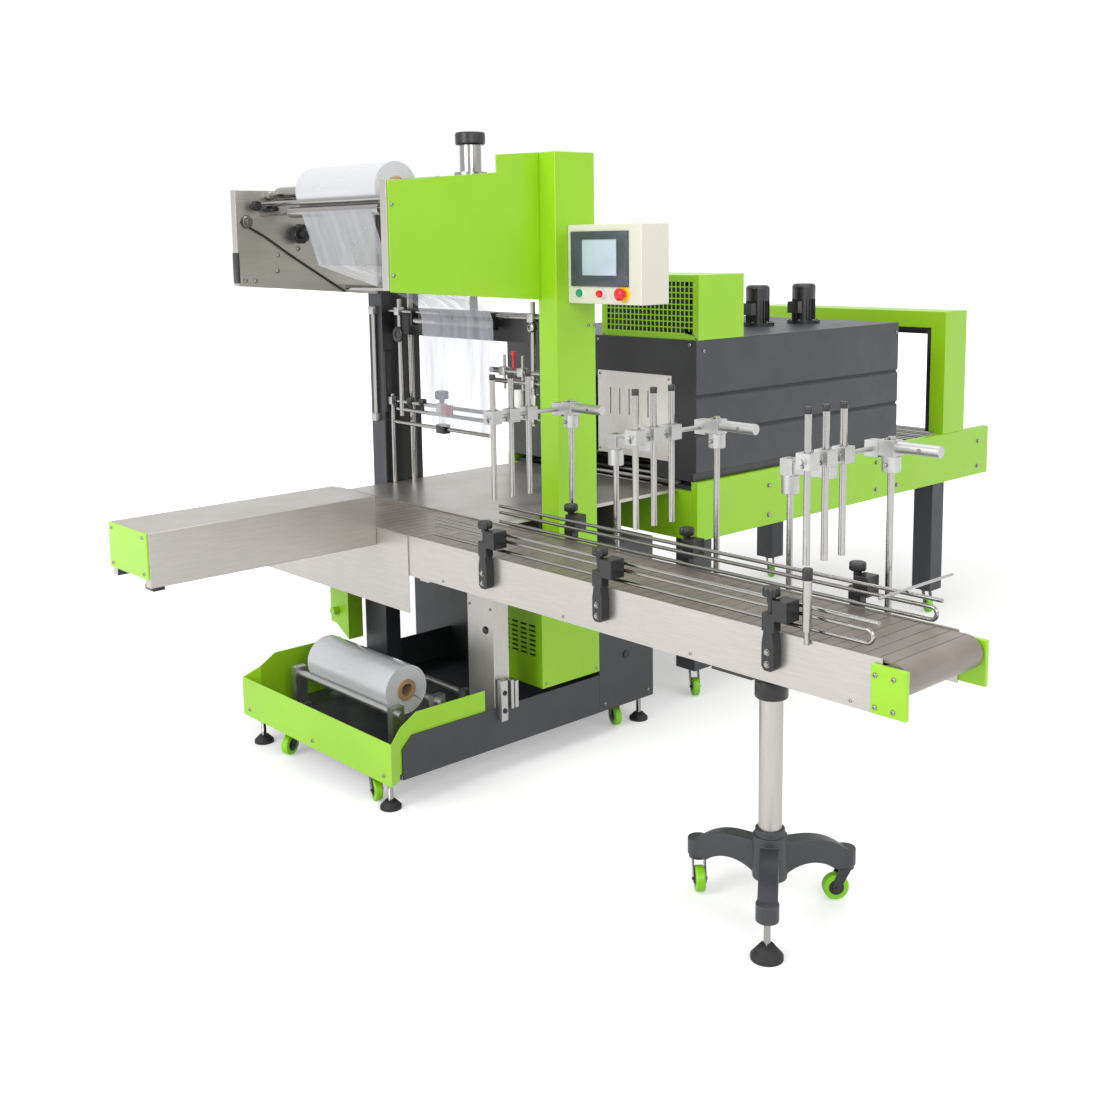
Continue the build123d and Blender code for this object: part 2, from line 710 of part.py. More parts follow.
# Pusher: a long housing of folded sheet with a painted end and a rail below it
pusher_far_y = pusher_near_y + pusher_width
pusher_inner_x = conveyor_x - conveyor_width / 2 - apron_sheet - fit_gap
with BuildPart() as pusher_housing:
    block(push_end_x + pusher_end_thickness, pusher_inner_x, pusher_near_y, pusher_far_y,
          pusher_bottom, pusher_bottom + pusher_height)
    for y in (pusher_near_y, pusher_far_y - pusher_rail_width):
        block(push_end_x + pusher_end_thickness, pusher_inner_x, y, y + pusher_rail_width,
              pusher_bottom - pusher_rail_height, pusher_bottom)
save(pusher_housing.part, "pusher_housing")

with BuildPart() as pusher_end_plate:
    block(push_end_x, push_end_x + pusher_end_thickness, pusher_near_y, pusher_far_y,
          pusher_bottom, pusher_bottom + pusher_height)
save(pusher_end_plate.part, "pusher_end_plate")

# Infeed conveyor: side sheets, cross tubes, end shafts with their drums, and the apron under the pusher
side_x0 = conveyor_x - conveyor_width / 2
side_x1 = conveyor_x + conveyor_width / 2
chain_width = conveyor_width - 2 * conveyor_sheet - 4
chain_near_y = feed_y + sprocket_radius + slat_thickness + 4
chain_far_y = conveyor_far_y - sprocket_radius - slat_thickness - 4
chain_z = conveyor_top - 4 - sprocket_radius - slat_thickness
with BuildPart() as conveyor_frame:
    for x in (side_x0, side_x1 - conveyor_sheet):
        block(x, x + conveyor_sheet, feed_y + end_plate_length - 20, conveyor_far_y,
              conveyor_bottom, conveyor_top)
    inside = (side_x0 + conveyor_sheet + fit_gap, side_x1 - conveyor_sheet - fit_gap)
    for y in cross_tube_ys:
        rod_x(*inside, y, conveyor_bottom + 22, cross_tube_radius)
    for y in (near_y + conveyor_pad_insets[0], conveyor_far_y - conveyor_pad_insets[1]):
        block(side_x0, side_x1, y, y + conveyor_pad_length, deck_height, conveyor_bottom - fit_gap)
    for y in (chain_near_y, chain_far_y):
        rod_x(*inside, y, chain_z, end_shaft_radius)
        rod_x(conveyor_x - chain_width / 2, conveyor_x + chain_width / 2, y, chain_z,
              sprocket_radius - fit_gap)
    block(side_x0 - apron_sheet - fit_gap, side_x0 - fit_gap, apron_near_y, conveyor_far_y,
          apron_bottom, conveyor_top)
save(conveyor_frame.part, "conveyor_frame")

with BuildPart() as conveyor_end_plates:
    for x in (side_x0 - end_plate_thickness, side_x1):
        block(x, x + end_plate_thickness, feed_y, feed_y + end_plate_length,
              conveyor_bottom + 5, conveyor_bottom + 5 + end_plate_height)
save(conveyor_end_plates.part, "conveyor_end_plates")

# Slat chain: one closed loop of slats over the two end shafts
with BuildPart() as conveyor_chain:
    straight = chain_far_y - chain_near_y
    with BuildSketch(Plane(origin=(conveyor_x - chain_width / 2, 0, 0), x_dir=(0, 1, 0),
                           z_dir=(1, 0, 0))) as loop:
        with Locations(((chain_near_y + chain_far_y) / 2, chain_z)):
            SlotCenterToCenter(straight, 2 * (sprocket_radius + slat_thickness))
            SlotCenterToCenter(straight, 2 * sprocket_radius, mode=Mode.SUBTRACT)
    extrude(loop.sketch, amount=chain_width)
    slat_pitch = slat_length + slat_gap
    slat_count = int(straight / slat_pitch)
    for i in range(slat_count + 1):
        y = chain_near_y + i * straight / slat_count
        block(conveyor_x - chain_width / 2, conveyor_x + chain_width / 2, y - slat_gap / 2,
              y + slat_gap / 2, chain_z + sprocket_radius + slat_thickness - 1.2,
              chain_z + sprocket_radius + slat_thickness + 1, mode=Mode.SUBTRACT)
save(conveyor_chain.part, "conveyor_chain")

# Guide rails: on each side a straight rail, and under it a loop bent round at its near end
rails_near_y = feed_y + rail_near_end
rails_far_y = near_y + 30
rail_xs = (side_x0 + rail_inset, side_x1 - rail_inset)
with BuildPart() as guide_rails:
    for x in rail_xs:
        rod_y(x, rails_near_y, rails_far_y, rail_top, rail_radius)
        bend = (loop_top - loop_bottom) / 2 - 0.5
        loop_near_y = rails_near_y + bend
        with BuildLine() as route:
            FilletPolyline((x, rails_far_y, loop_top), (x, loop_near_y, loop_top),
                           (x, loop_near_y, loop_bottom), (x, rails_far_y, loop_bottom), radius=bend)
        with BuildSketch(Plane(origin=route.line @ 0, z_dir=route.line % 0)) as section:
            Circle(rail_radius)
        sweep(sections=section.sketch, path=route.line)
save(guide_rails.part, "guide_rails")

# Brackets: a tapered arm on the side sheet, a square block with a knob, and a clamp on the rail
with BuildPart() as guide_brackets:
    for side in (-1, 1):
        face = conveyor_x + side * (conveyor_width / 2 + fit_gap)
        outer = face + side * bracket_thickness
        rail_face = conveyor_x + side * (conveyor_width / 2 - rail_inset + rail_radius + fit_gap)
        for y in bracket_ys:
            half = bracket_width / 2
            with BuildSketch(Plane(origin=(min(face, outer), y, 0), x_dir=(0, 1, 0),
                                   z_dir=(1, 0, 0))) as arm:
                with BuildLine():
                    Polyline((-half + 8, bracket_bottom), (half - 8, bracket_bottom),
                             (half, bracket_bottom + 10), (half, bracket_waist),
                             (half - 5, bracket_block_bottom), (half, bracket_block_bottom),
                             (half, loop_top), (-half, loop_top), (-half, bracket_block_bottom),
                             (-half + 5, bracket_block_bottom), (-half, bracket_waist),
                             (-half, bracket_bottom + 10), close=True)
                make_face()
            extrude(arm.sketch, amount=bracket_thickness)
            middle = (face + outer) / 2
            rod_z(middle, y, loop_top, loop_top + clamp_size, knob_neck_radius)
            rod_z(middle, y, loop_top + clamp_size, loop_top + clamp_size + knob_height, knob_radius)
            clamp_y = y + bracket_clamp_offset
            block(min(outer, rail_face), max(outer, rail_face), clamp_y - 15, clamp_y + 25,
                  rail_top - 34, rail_top + 14)
    post_x = side_x1 + post_stand_off
    for y in tall_post_ys + low_post_ys:
        block(side_x1 + fit_gap, post_x + clamp_size / 2, y - clamp_size / 2, y + clamp_size / 2,
              bracket_bottom, bracket_waist)
        rod_z(post_x, y, bracket_bottom, bracket_waist, post_radius + fit_gap, mode=Mode.SUBTRACT)
save(guide_brackets.part, "guide_brackets")

# Posts on the far side, the dividers' hanging posts, and the capped post at the near side
divider_xs = [conveyor_x + i * divider_pitch for i in (-1, 0, 1)]
with BuildPart() as guide_posts:
    for y in tall_post_ys:
        rod_z(post_x, y, bracket_bottom, tall_post_top, post_radius)
        for x in divider_xs:
            rod_z(x, y + divider_rod_offset, divider_bottom, divider_top, post_radius)
    for y in low_post_ys:
        rod_z(post_x, y, bracket_bottom, low_post_top, post_radius)
    cap_pin_radius = cap_post_radius - 4
    cap_x = side_x0 - cap_pin_radius - fit_gap
    rod_z(cap_x, cap_post_y, cap_post_bottom, cap_post_top, cap_post_radius)
    rod_z(cap_x, cap_post_y, cap_post_bottom - cap_post_pin, cap_post_bottom, cap_pin_radius)
save(guide_posts.part, "guide_posts")

# Clamps on the posts: a collar, a block with an arm towards the near end, and the dividers' rods
with BuildPart() as guide_clamps:
    half = clamp_size / 2
    for y in tall_post_ys:
        collar_top = tall_post_top - post_collar_drop
        rod_z(post_x, y, collar_top - post_collar_height, collar_top, post_collar_radius)
        arm_z = tall_post_top - arm_drop
        rod_line_y = y + divider_rod_offset
        block(post_x - half, post_x + half, y - half, rod_line_y - half - fit_gap, collar_top,
              arm_z + arm_radius + 2)
        rod_y(post_x, y - half - arm_length, y - half, arm_z, arm_radius)
        rod_z(post_x, y, collar_top - post_collar_height - 1, tall_post_top, post_radius + fit_gap,
              mode=Mode.SUBTRACT)
        rod_z_level = tall_post_top - divider_rod_drop
        rod_x(divider_xs[0] - 30, post_x + half, rod_line_y, rod_z_level, divider_rod_radius)
        for x in divider_xs + [post_x]:
            block(x - half, x + half, rod_line_y - half, rod_line_y + half, rod_z_level - half,
                  rod_z_level + half)
        for x in divider_xs:
            rod_z(x, rod_line_y, rod_z_level - half, rod_z_level + half, post_radius + fit_gap,
                  mode=Mode.SUBTRACT)
    for y in low_post_ys:
        collar_top = low_post_top - clamp_size - 6
        rod_z(post_x, y, collar_top - clamp_size - 8, collar_top, post_collar_radius)
        block(post_x - half, post_x + half, y - half, y + half, collar_top, low_post_top - 2)
        block(post_x - arm_radius, post_x + arm_radius, y - half - arm_length, y - half,
              low_post_top - clamp_size, low_post_top - clamp_size + 2 * arm_radius)
        rod_z(post_x, y, collar_top - clamp_size - 9, low_post_top, post_radius + fit_gap,
              mode=Mode.SUBTRACT)
    entry_x1 = post_x + 120
    entry_rod_z = rail_top + rail_radius + entry_rod_radius + fit_gap
    rod_x(entry_x1 - entry_rod_length, entry_x1, entry_rod_y, entry_rod_z, entry_rod_radius)
save(guide_clamps.part, "guide_clamps")

# Stand: a cast tripod with arched arms, a steel post and the collar that grips the conveyor
with BuildPart() as stand_base:
    rod_z(conveyor_x, stand_y, stand_hub_bottom, stand_hub_top, stand_hub_radius)
    rod_z(conveyor_x, stand_y, stand_hub_top, stand_hub_top + stand_ring_height, stand_ring_radius)
    tip_top = stand_tip_bottom + stand_arm_tip_height
    tip_radius = stand_arm_width / 2 + 4
    for i, (x, y) in enumerate(stand_tips):
        angle = math.radians(stand_first_angle + 120 * i)
        across = Vector(math.sin(angle), -math.cos(angle), 0)
        foot = Vector(conveyor_x, stand_y, 0) - across * (stand_arm_width / 2)
        with BuildSketch(Plane(origin=foot, x_dir=(math.cos(angle), math.sin(angle), 0),
                               z_dir=across)) as arm:
            with BuildLine():
                under = Polyline((stand_arm_reach, stand_tip_bottom),
                                 (stand_arm_reach * 0.82, stand_tip_bottom))
                arch = ThreePointArc(under @ 1, (stand_arm_reach * 0.5, stand_tip_bottom + stand_arm_rise),
                                     (stand_hub_radius * 0.8, stand_tip_bottom + 12))
                back = Polyline(arch @ 1, (0, stand_tip_bottom + 12), (0, stand_arm_top),
                                (stand_arm_reach * 0.45, stand_arm_top - 5))
                crown = ThreePointArc(back @ 1, (stand_arm_reach * 0.78, stand_arm_top - 22),
                                      (stand_arm_reach, tip_top))
                Line(crown @ 1, under @ 0)
            make_face()
        extrude(arm.sketch, amount=stand_arm_width)
        rod_z(x, y, stand_tip_bottom, tip_top, tip_radius)
    rod_z(conveyor_x, stand_y, stand_hub_top - 60, stand_hub_top + stand_ring_height,
          stand_post_radius + fit_gap, mode=Mode.SUBTRACT)
    for x, y in stand_tips[:2]:
        rod_z(x, y, stand_tip_bottom, stand_tip_bottom + socket_depth, kingpin_radius + bearing_gap,
              mode=Mode.SUBTRACT)
    rod_z(*stand_tips[2], stand_tip_bottom, stand_tip_bottom + socket_depth,
          foot_stud_radius + fit_gap, mode=Mode.SUBTRACT)
save(stand_base.part, "stand_base")

collar_top = conveyor_bottom - stand_plate_height - fit_gap
with BuildPart() as stand_post:
    rod_z(conveyor_x, stand_y, stand_hub_top - 60 + fit_gap, collar_top, stand_post_radius)
save(stand_post.part, "stand_post")

with BuildPart() as stand_collar:
    rod_z(conveyor_x, stand_y, collar_top - stand_collar_height, collar_top, stand_collar_radius)
    rod_z(conveyor_x, stand_y, collar_top - stand_collar_height, collar_top,
          stand_post_radius + fit_gap, mode=Mode.SUBTRACT)
    block(side_x0, side_x1, stand_y - 60, stand_y + 60, conveyor_bottom - stand_plate_height,
          conveyor_bottom)
save(stand_collar.part, "stand_collar")


def caster_parts(x, y, turn, mount_z, lift):
    """Fork and wheel of a swivel caster whose kingpin stands at x, y under mount_z."""
    axle_z = lift + wheel_radius
    head_top = mount_z - fit_gap
    cheek_y = wheel_width / 2 + fork_side_gap
    with BuildPart() as fork:
        rod_z(0, 0, head_top - fork_head_height, head_top, fork_head_radius)
        rod_z(0, 0, head_top, mount_z + bed_floor_rise - 1, kingpin_radius)
        for side in (-1, 1):
            inner = sorted((side * cheek_y, side * (cheek_y + fork_cheek)))
            with BuildSketch(Plane(origin=(0, inner[0], 0), x_dir=(1, 0, 0),
                                   z_dir=(0, -1, 0))) as cheek:
                with BuildLine():
                    Polyline((-14, head_top - fork_head_height), (16, head_top - fork_head_height),
                             (fork_trail + 11, axle_z + 4), (fork_trail + 9, axle_z - 9),
                             (fork_trail - 9, axle_z - 9), (fork_trail - 11, axle_z + 2), close=True)
                make_face()
            extrude(cheek.sketch, amount=-fork_cheek)
        block(-14, 16, -cheek_y - fork_cheek, cheek_y + fork_cheek, head_top - fork_head_height - 2,
              head_top - fork_head_height)
        rod_y(fork_trail, -cheek_y - fork_cheek - 3, cheek_y + fork_cheek + 3, axle_z, axle_radius)
    with BuildPart() as wheel:
        rod_y(fork_trail, -wheel_width / 2, wheel_width / 2, axle_z, wheel_radius)
        fillet(wheel.edges().filter_by(GeomType.CIRCLE), wheel_width / 5)
        rod_y(fork_trail, -wheel_width / 2, wheel_width / 2, axle_z, axle_radius + bearing_gap,
              mode=Mode.SUBTRACT)
    place = Location((x, y, 0), (0, 0, turn))
    return fork.part.moved(place), wheel.part.moved(place)


for name, (x, y, turn) in base_casters.items():
    fork_shape, wheel_shape = caster_parts(x, y, turn, bed_clearance, wheel_lift)
    save(fork_shape, f"{name}_fork")
    save(wheel_shape, f"{name}_wheel")

for name, (x, y), turn in zip(("stand_rear", "stand_left"), stand_tips[:2], stand_caster_turns):
    fork_shape, wheel_shape = caster_parts(x, y, turn, stand_tip_bottom, wheel_lift)
    save(fork_shape, f"{name}_fork")
    save(wheel_shape, f"{name}_wheel")

# Tunnel legs and side beams, with a member across the entry end
leg_xs = (tunnel_start_x + entry_member_thickness + fit_gap, exit_frame_x0 - leg_inset_x)
with BuildPart() as tunnel_legs:
    for x in leg_xs:
        for y in (near_y + beam_thickness, far_y - beam_thickness - leg_size):
            block(x, x + leg_size, y, y + leg_size, leg_bottom, beam_top - 20)
            rod_z(x + leg_size / 2, y + leg_size / 2, leg_bottom, leg_bottom + bed_floor_rise,
                  kingpin_radius + bearing_gap, mode=Mode.SUBTRACT)
        block(x, x + leg_size, near_y + beam_thickness + leg_size, far_y - beam_thickness - leg_size,
              beam_bottom, beam_bottom + 40)
save(tunnel_legs.part, "tunnel_legs")

with BuildPart() as tunnel_beams:
    for y in (near_y, far_y - beam_thickness):
        block(tunnel_start_x, exit_end_x, y, y + beam_thickness, beam_bottom, beam_top)
    block(tunnel_start_x, tunnel_start_x + entry_member_thickness, near_y + beam_thickness + fit_gap,
          far_y - beam_thickness - fit_gap, beam_bottom, seal_table_top - entry_member_drop)
save(tunnel_beams.part, "tunnel_beams")

# Tunnel casters: the near front one turns, the ones out of sight are fixed
caster_ys = (near_y + beam_thickness + leg_size / 2, far_y - beam_thickness - leg_size / 2)
caster_xs = (leg_xs[0] + leg_size / 2, leg_xs[1] + leg_size / 2)
fork_shape, wheel_shape = caster_parts(caster_xs[0], caster_ys[0], tunnel_caster_turn, leg_bottom,
                                       tunnel_wheel_lift)
save(fork_shape, "tunnel_front_fork")
save(wheel_shape, "tunnel_front_wheel")

hidden_shapes = [*caster_parts(*hidden_base_caster, bed_clearance, wheel_lift)]
for x, y in ((caster_xs[0], caster_ys[1]), (caster_xs[1], caster_ys[0]), (caster_xs[1], caster_ys[1])):
    hidden_shapes += caster_parts(x, y, tunnel_caster_turn, leg_bottom, tunnel_wheel_lift)
save(Compound(children=hidden_shapes), "fixed_casters")

# Tunnel housing with its passage, two pressed grooves along each side and a recessed base
passage_y0 = portal_middle_y - passage_width / 2
passage_y1 = portal_middle_y + passage_width / 2
with BuildPart() as tunnel_housing:
    block(tunnel_start_x, tunnel_end_x, tunnel_near_y, tunnel_far_y, tunnel_bottom, tunnel_top)
    block(tunnel_start_x - 1, tunnel_end_x + 1, passage_y0, passage_y1, tunnel_bottom - 1,
          passage_top, mode=Mode.SUBTRACT)
    for y in (tunnel_near_y, tunnel_far_y - base_recess):
        block(tunnel_start_x - 1, tunnel_end_x + 1, y, y + base_recess, tunnel_bottom,
              tunnel_bottom + base_recess_height, mode=Mode.SUBTRACT)
    for z in groove_heights:
        for y in (tunnel_near_y, tunnel_far_y):
            with Locations(Location(((tunnel_start_x + tunnel_end_x) / 2, y, z), (45, 0, 0))):
                Box(tunnel_end_x - tunnel_start_x + 2, groove_size, groove_size, mode=Mode.SUBTRACT)
save(tunnel_housing.part, "tunnel_housing")

# Entry panel: a steel sheet with upright slits, over the near half of the passage
entry_panel_near_y = near_y + entry_panel_inset
with BuildPart() as entry_panel:
    block(tunnel_start_x - entry_panel_thickness, tunnel_start_x, entry_panel_near_y,
          entry_panel_near_y + entry_panel_width, entry_panel_bottom, entry_panel_top)
    for i in range(entry_slit_count):
        y = entry_panel_near_y + entry_slit_margin + i * entry_slit_pitch
        block(tunnel_start_x - entry_panel_thickness - 1, tunnel_start_x + 1, y - entry_slit_width / 2,
              y + entry_slit_width / 2, entry_slit_bottom, entry_slit_top, mode=Mode.SUBTRACT)
save(entry_panel.part, "entry_panel")

# Fan box on the tunnel roof: a sheet shell, and a square grille in the end towards the portal
fan_x0 = tunnel_start_x + 11
fan_y1 = tunnel_near_y + tunnel_fan_width
grille_top = tunnel_top + tunnel_fan_height - tunnel_fan_border
with BuildPart() as tunnel_fan_box:
    block(fan_x0, fan_x0 + tunnel_fan_length, tunnel_near_y, fan_y1, tunnel_top,
          tunnel_top + tunnel_fan_height)
    block(fan_x0 + tunnel_fan_wall, fan_x0 + tunnel_fan_length - tunnel_fan_wall,
          tunnel_near_y + tunnel_fan_wall, fan_y1 - tunnel_fan_wall, tunnel_top - 1,
          tunnel_top + tunnel_fan_height - tunnel_fan_wall, mode=Mode.SUBTRACT)
    block(fan_x0 - 1, fan_x0 + tunnel_fan_wall + 1, tunnel_near_y + tunnel_fan_border,
          fan_y1 - tunnel_fan_border, tunnel_top + tunnel_fan_border, grille_top, mode=Mode.SUBTRACT)
with BuildPart() as grille:
    grille_y = (tunnel_near_y + fan_y1) / 2
    grille_z = (tunnel_top + tunnel_fan_border + grille_top) / 2
    grille_width = tunnel_fan_width - 2 * (tunnel_fan_border + fit_gap)
    grille_height = grille_top - tunnel_top - tunnel_fan_border - 2 * fit_gap
    columns = int((grille_width - grille_bar) / grille_pitch)
    rows = int((grille_height - grille_bar) / grille_pitch)
    with Locations((fan_x0 + tunnel_fan_wall / 2, grille_y, grille_z)):
        Box(tunnel_fan_wall, grille_width, grille_height)
        with BuildSketch(Plane(origin=(fan_x0, grille_y, grille_z), x_dir=(0, 1, 0),
                               z_dir=(1, 0, 0))) as holes:
            with GridLocations(grille_pitch, grille_pitch, columns, rows):
                Rectangle(grille_pitch - grille_bar, grille_pitch - grille_bar)
    extrude(holes.sketch, amount=tunnel_fan_wall, mode=Mode.SUBTRACT)
save(Compound(children=[tunnel_fan_box.part, grille.part]), "tunnel_fan_box")

# Blower motors: a flange, a finned body under a smooth cap, and a terminal box on the side
with BuildPart() as blower_motors:
    body_top = tunnel_top + motor_flange_thickness + motor_body_height
    for x, y in motor_places:
        rod_z(x, y, tunnel_top, tunnel_top + motor_flange_thickness, motor_flange_radius)
        rod_z(x, y, tunnel_top + motor_flange_thickness, body_top, motor_radius)
        with BuildSketch(Plane.XY.offset(tunnel_top + motor_flange_thickness)) as fins:
            with Locations((x, y)):
                with PolarLocations(motor_radius, motor_fin_count):
                    Rectangle(2 * motor_fin_height, 2.4)
        extrude(fins.sketch, amount=motor_body_height)
        with BuildSketch(Plane(origin=(x, y, body_top), x_dir=(1, 0, 0), z_dir=(0, -1, 0))) as half_cap:
            with BuildLine():
                side = Polyline((0, 0), (motor_cap_radius, 0), (motor_cap_radius, motor_cap_height * 0.7))
                dome = ThreePointArc(side @ 1, (motor_cap_radius * 0.93, motor_cap_height * 0.92),
                                     (motor_cap_radius * 0.72, motor_cap_height))
                Polyline(dome @ 1, (0, motor_cap_height), (0, 0))
            make_face()
        revolve(half_cap.sketch, Axis((x, y, 0), (0, 0, 1)))
        length, width, height = motor_box
        block(x - motor_radius - width, x - motor_radius + 6, y - length / 2, y + length / 2,
              body_top - height - 8, body_top - 8)
save(blower_motors.part, "blower_motors")

# Exit frame: a portal on the side beams
with BuildPart() as exit_frame:
    block(exit_frame_x0, exit_frame_x1, near_y, far_y, beam_top, exit_frame_top)
    block(exit_frame_x0 - 1, exit_frame_x1 + 1, near_y + exit_frame_post, far_y - exit_frame_post,
          beam_top - 1, exit_frame_top - exit_frame_post, mode=Mode.SUBTRACT)
save(exit_frame.part, "exit_frame")

# Driven rollers between two strips that the legs hold
strip_near_y = near_y + beam_thickness + leg_size + fit_gap
strip_far_y = far_y - beam_thickness - leg_size - fit_gap - roller_strip
with BuildPart() as tunnel_rollers:
    rollers_start_x = tunnel_start_x + entry_member_thickness + fit_gap
    roller_count = int((exit_end_x - rollers_start_x - 40) / belt_roller_pitch)
    for i in range(roller_count + 1):
        rod_y(rollers_start_x + belt_roller_radius + 2 + i * belt_roller_pitch,
              strip_near_y + roller_strip + fit_gap, strip_far_y - fit_gap,
              seal_table_top - belt_roller_radius, belt_roller_radius)
    for y in (strip_near_y, strip_far_y):
        block(rollers_start_x, exit_end_x - 5, y, y + roller_strip, seal_table_top - 60,
              seal_table_top - roller_proud)
save(tunnel_rollers.part, "tunnel_rollers")
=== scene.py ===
import json
import math
from collections import namedtuple
from itertools import product

import bmesh
import bpy
from mathutils import Matrix, Vector


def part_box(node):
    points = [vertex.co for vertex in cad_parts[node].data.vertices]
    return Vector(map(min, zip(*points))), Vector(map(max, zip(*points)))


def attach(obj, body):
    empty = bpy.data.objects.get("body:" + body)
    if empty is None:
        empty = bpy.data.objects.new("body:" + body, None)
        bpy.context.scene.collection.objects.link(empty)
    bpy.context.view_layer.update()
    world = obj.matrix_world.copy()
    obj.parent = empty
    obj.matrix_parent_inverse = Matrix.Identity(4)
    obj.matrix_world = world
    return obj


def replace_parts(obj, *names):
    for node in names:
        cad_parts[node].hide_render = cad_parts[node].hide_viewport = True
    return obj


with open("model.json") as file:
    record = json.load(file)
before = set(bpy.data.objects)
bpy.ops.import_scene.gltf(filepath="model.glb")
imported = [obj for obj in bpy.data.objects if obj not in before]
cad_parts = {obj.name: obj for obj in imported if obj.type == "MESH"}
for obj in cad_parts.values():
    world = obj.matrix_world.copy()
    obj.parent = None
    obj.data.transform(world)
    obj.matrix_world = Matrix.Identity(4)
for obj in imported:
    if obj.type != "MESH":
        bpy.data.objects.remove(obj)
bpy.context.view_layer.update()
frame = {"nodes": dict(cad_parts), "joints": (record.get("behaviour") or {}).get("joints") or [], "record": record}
nodes = frame["nodes"]
record = frame["record"]
body_of = {node: body for body, members in record["behaviour"]["bodies"].items() for node in members}
MM = 0.001

# Camera, worked out from the photograph's straight edges
PHOTO_SIZE = 1100
FOCAL_PIXELS = 1325.9
HORIZON_SHIFT_PIXELS = 120
SENSOR = 36.0
CAMERA_PLACE = Vector((-3.425, -2.722, 1.630))
CAMERA_YAW = math.radians(47.88)
CAMERA_PITCH = math.radians(8.19)
CAMERA_ROLL = math.radians(-0.81)

# Limits for welding, flattening and rounding
WELD = 0.00002
FLAT_ANGLE = math.radians(0.6)
BEVEL_ANGLE = math.radians(38)
SMOOTH_ANGLE = math.radians(40)
BEVEL_SEGMENTS = 2
LOBE_DEPTH = 0.09


def make_camera():
    level = Vector((math.cos(CAMERA_YAW), math.sin(CAMERA_YAW), 0))
    up = Vector((0, 0, 1))
    right = level.cross(up)
    forward = level * math.cos(CAMERA_PITCH) - up * math.sin(CAMERA_PITCH)
    top = up * math.cos(CAMERA_PITCH) + level * math.sin(CAMERA_PITCH)
    rolled_right = right * math.cos(CAMERA_ROLL) + top * math.sin(CAMERA_ROLL)
    rolled_top = top * math.cos(CAMERA_ROLL) - right * math.sin(CAMERA_ROLL)
    turn = Matrix((rolled_right, rolled_top, -forward)).transposed()
    data = bpy.data.cameras.new("camera")
    data.sensor_width = SENSOR
    data.lens = FOCAL_PIXELS / PHOTO_SIZE * SENSOR
    data.shift_y = -HORIZON_SHIFT_PIXELS / PHOTO_SIZE
    data.clip_end = 100
    camera = bpy.data.objects.new("camera", data)
    camera.matrix_world = Matrix.Translation(CAMERA_PLACE) @ turn.to_4x4()
    bpy.context.scene.collection.objects.link(camera)
    bpy.context.scene.camera = camera


make_camera()
bpy.context.scene.view_settings.view_transform = "Standard"


# Materials
def linear(red, green, blue):
    """A colour written as 0 to 255 values, as the shader wants it."""
    def one(value):
        value /= 255
        return value / 12.92 if value <= 0.04045 else ((value + 0.055) / 1.055) ** 2.4
    return one(red), one(green), one(blue), 1.0


def scaled(color, factor):
    return tuple(min(1.0, c * factor) for c in color[:3]) + (1.0,)


class Shade:
    """Short ways to build a node tree around one Principled shader."""

    def __init__(self, name, color, roughness, metallic=0.0):
        self.material = bpy.data.materials.new(name)
        self.material.use_nodes = True
        self.tree = self.material.node_tree
        self.shader = self.tree.nodes["Principled BSDF"]
        self.shader.inputs["Base Color"].default_value = color
        self.shader.inputs["Roughness"].default_value = roughness
        self.shader.inputs["Metallic"].default_value = metallic
        self.place = None

    def node(self, kind, **values):
        made = self.tree.nodes.new(kind)
        for key, value in values.items():
            if key in made.inputs:
                made.inputs[key].default_value = value
            else:
                setattr(made, key, value)
        return made

    def link(self, a, b):
        self.tree.links.new(a, b)

    def coordinates(self, scale=(1, 1, 1), origin=(0, 0, 0)):
        if self.place is None:
            self.place = self.node("ShaderNodeTexCoord")
        mapping = self.node("ShaderNodeMapping")
        mapping.inputs["Scale"].default_value = scale
        mapping.inputs["Location"].default_value = [-o * s for o, s in zip(origin, scale)]
        self.link(self.place.outputs["Object"], mapping.inputs["Vector"])
        return mapping.outputs["Vector"]

    def noise(self, size, detail=2.0, roughness=0.5, scale=(1, 1, 1)):
        """Noise whose grain is about size metres."""
        made = self.node("ShaderNodeTexNoise", Scale=1 / size, Detail=detail, Roughness=roughness)
        self.link(self.coordinates(scale), made.inputs["Vector"])
        return made.outputs["Fac"]

    def rings(self, pitch, origin, distortion=0.4):
        """Bands round an axis along Y through origin, a pitch apart."""
        made = self.node("ShaderNodeTexWave", wave_type="RINGS", rings_direction="Y",
                         Scale=1 / (20 * pitch) * math.pi, Distortion=distortion, Detail=2.0)
        self.link(self.coordinates((1, 1, 1), origin), made.inputs["Vector"])
        return made.outputs["Fac"]

    def ramp(self, fac, stops):
        made = self.node("ShaderNodeValToRGB")
        elements = made.color_ramp.elements
        while len(elements) < len(stops):
            elements.new(0.5)
        for element, (position, color) in zip(elements, stops):
            element.position = position
            element.color = color
        self.link(fac, made.inputs["Fac"])
        return made.outputs["Color"]

    def spread(self, fac, low, high, start=0.3, end=0.7):
        made = self.node("ShaderNodeMapRange")
        for key, value in (("From Min", start), ("From Max", end), ("To Min", low), ("To Max", high)):
            made.inputs[key].default_value = value
        self.link(fac, made.inputs["Value"])
        return made.outputs["Result"]

    def bump(self, height, strength, distance, after=None):
        made = self.node("ShaderNodeBump", Strength=strength, Distance=distance)
        self.link(height, made.inputs["Height"])
        if after is not None:
            self.link(after, made.inputs["Normal"])
        return made.outputs["Normal"]

    def feed(self, socket, value):
        self.link(value, self.shader.inputs[socket])


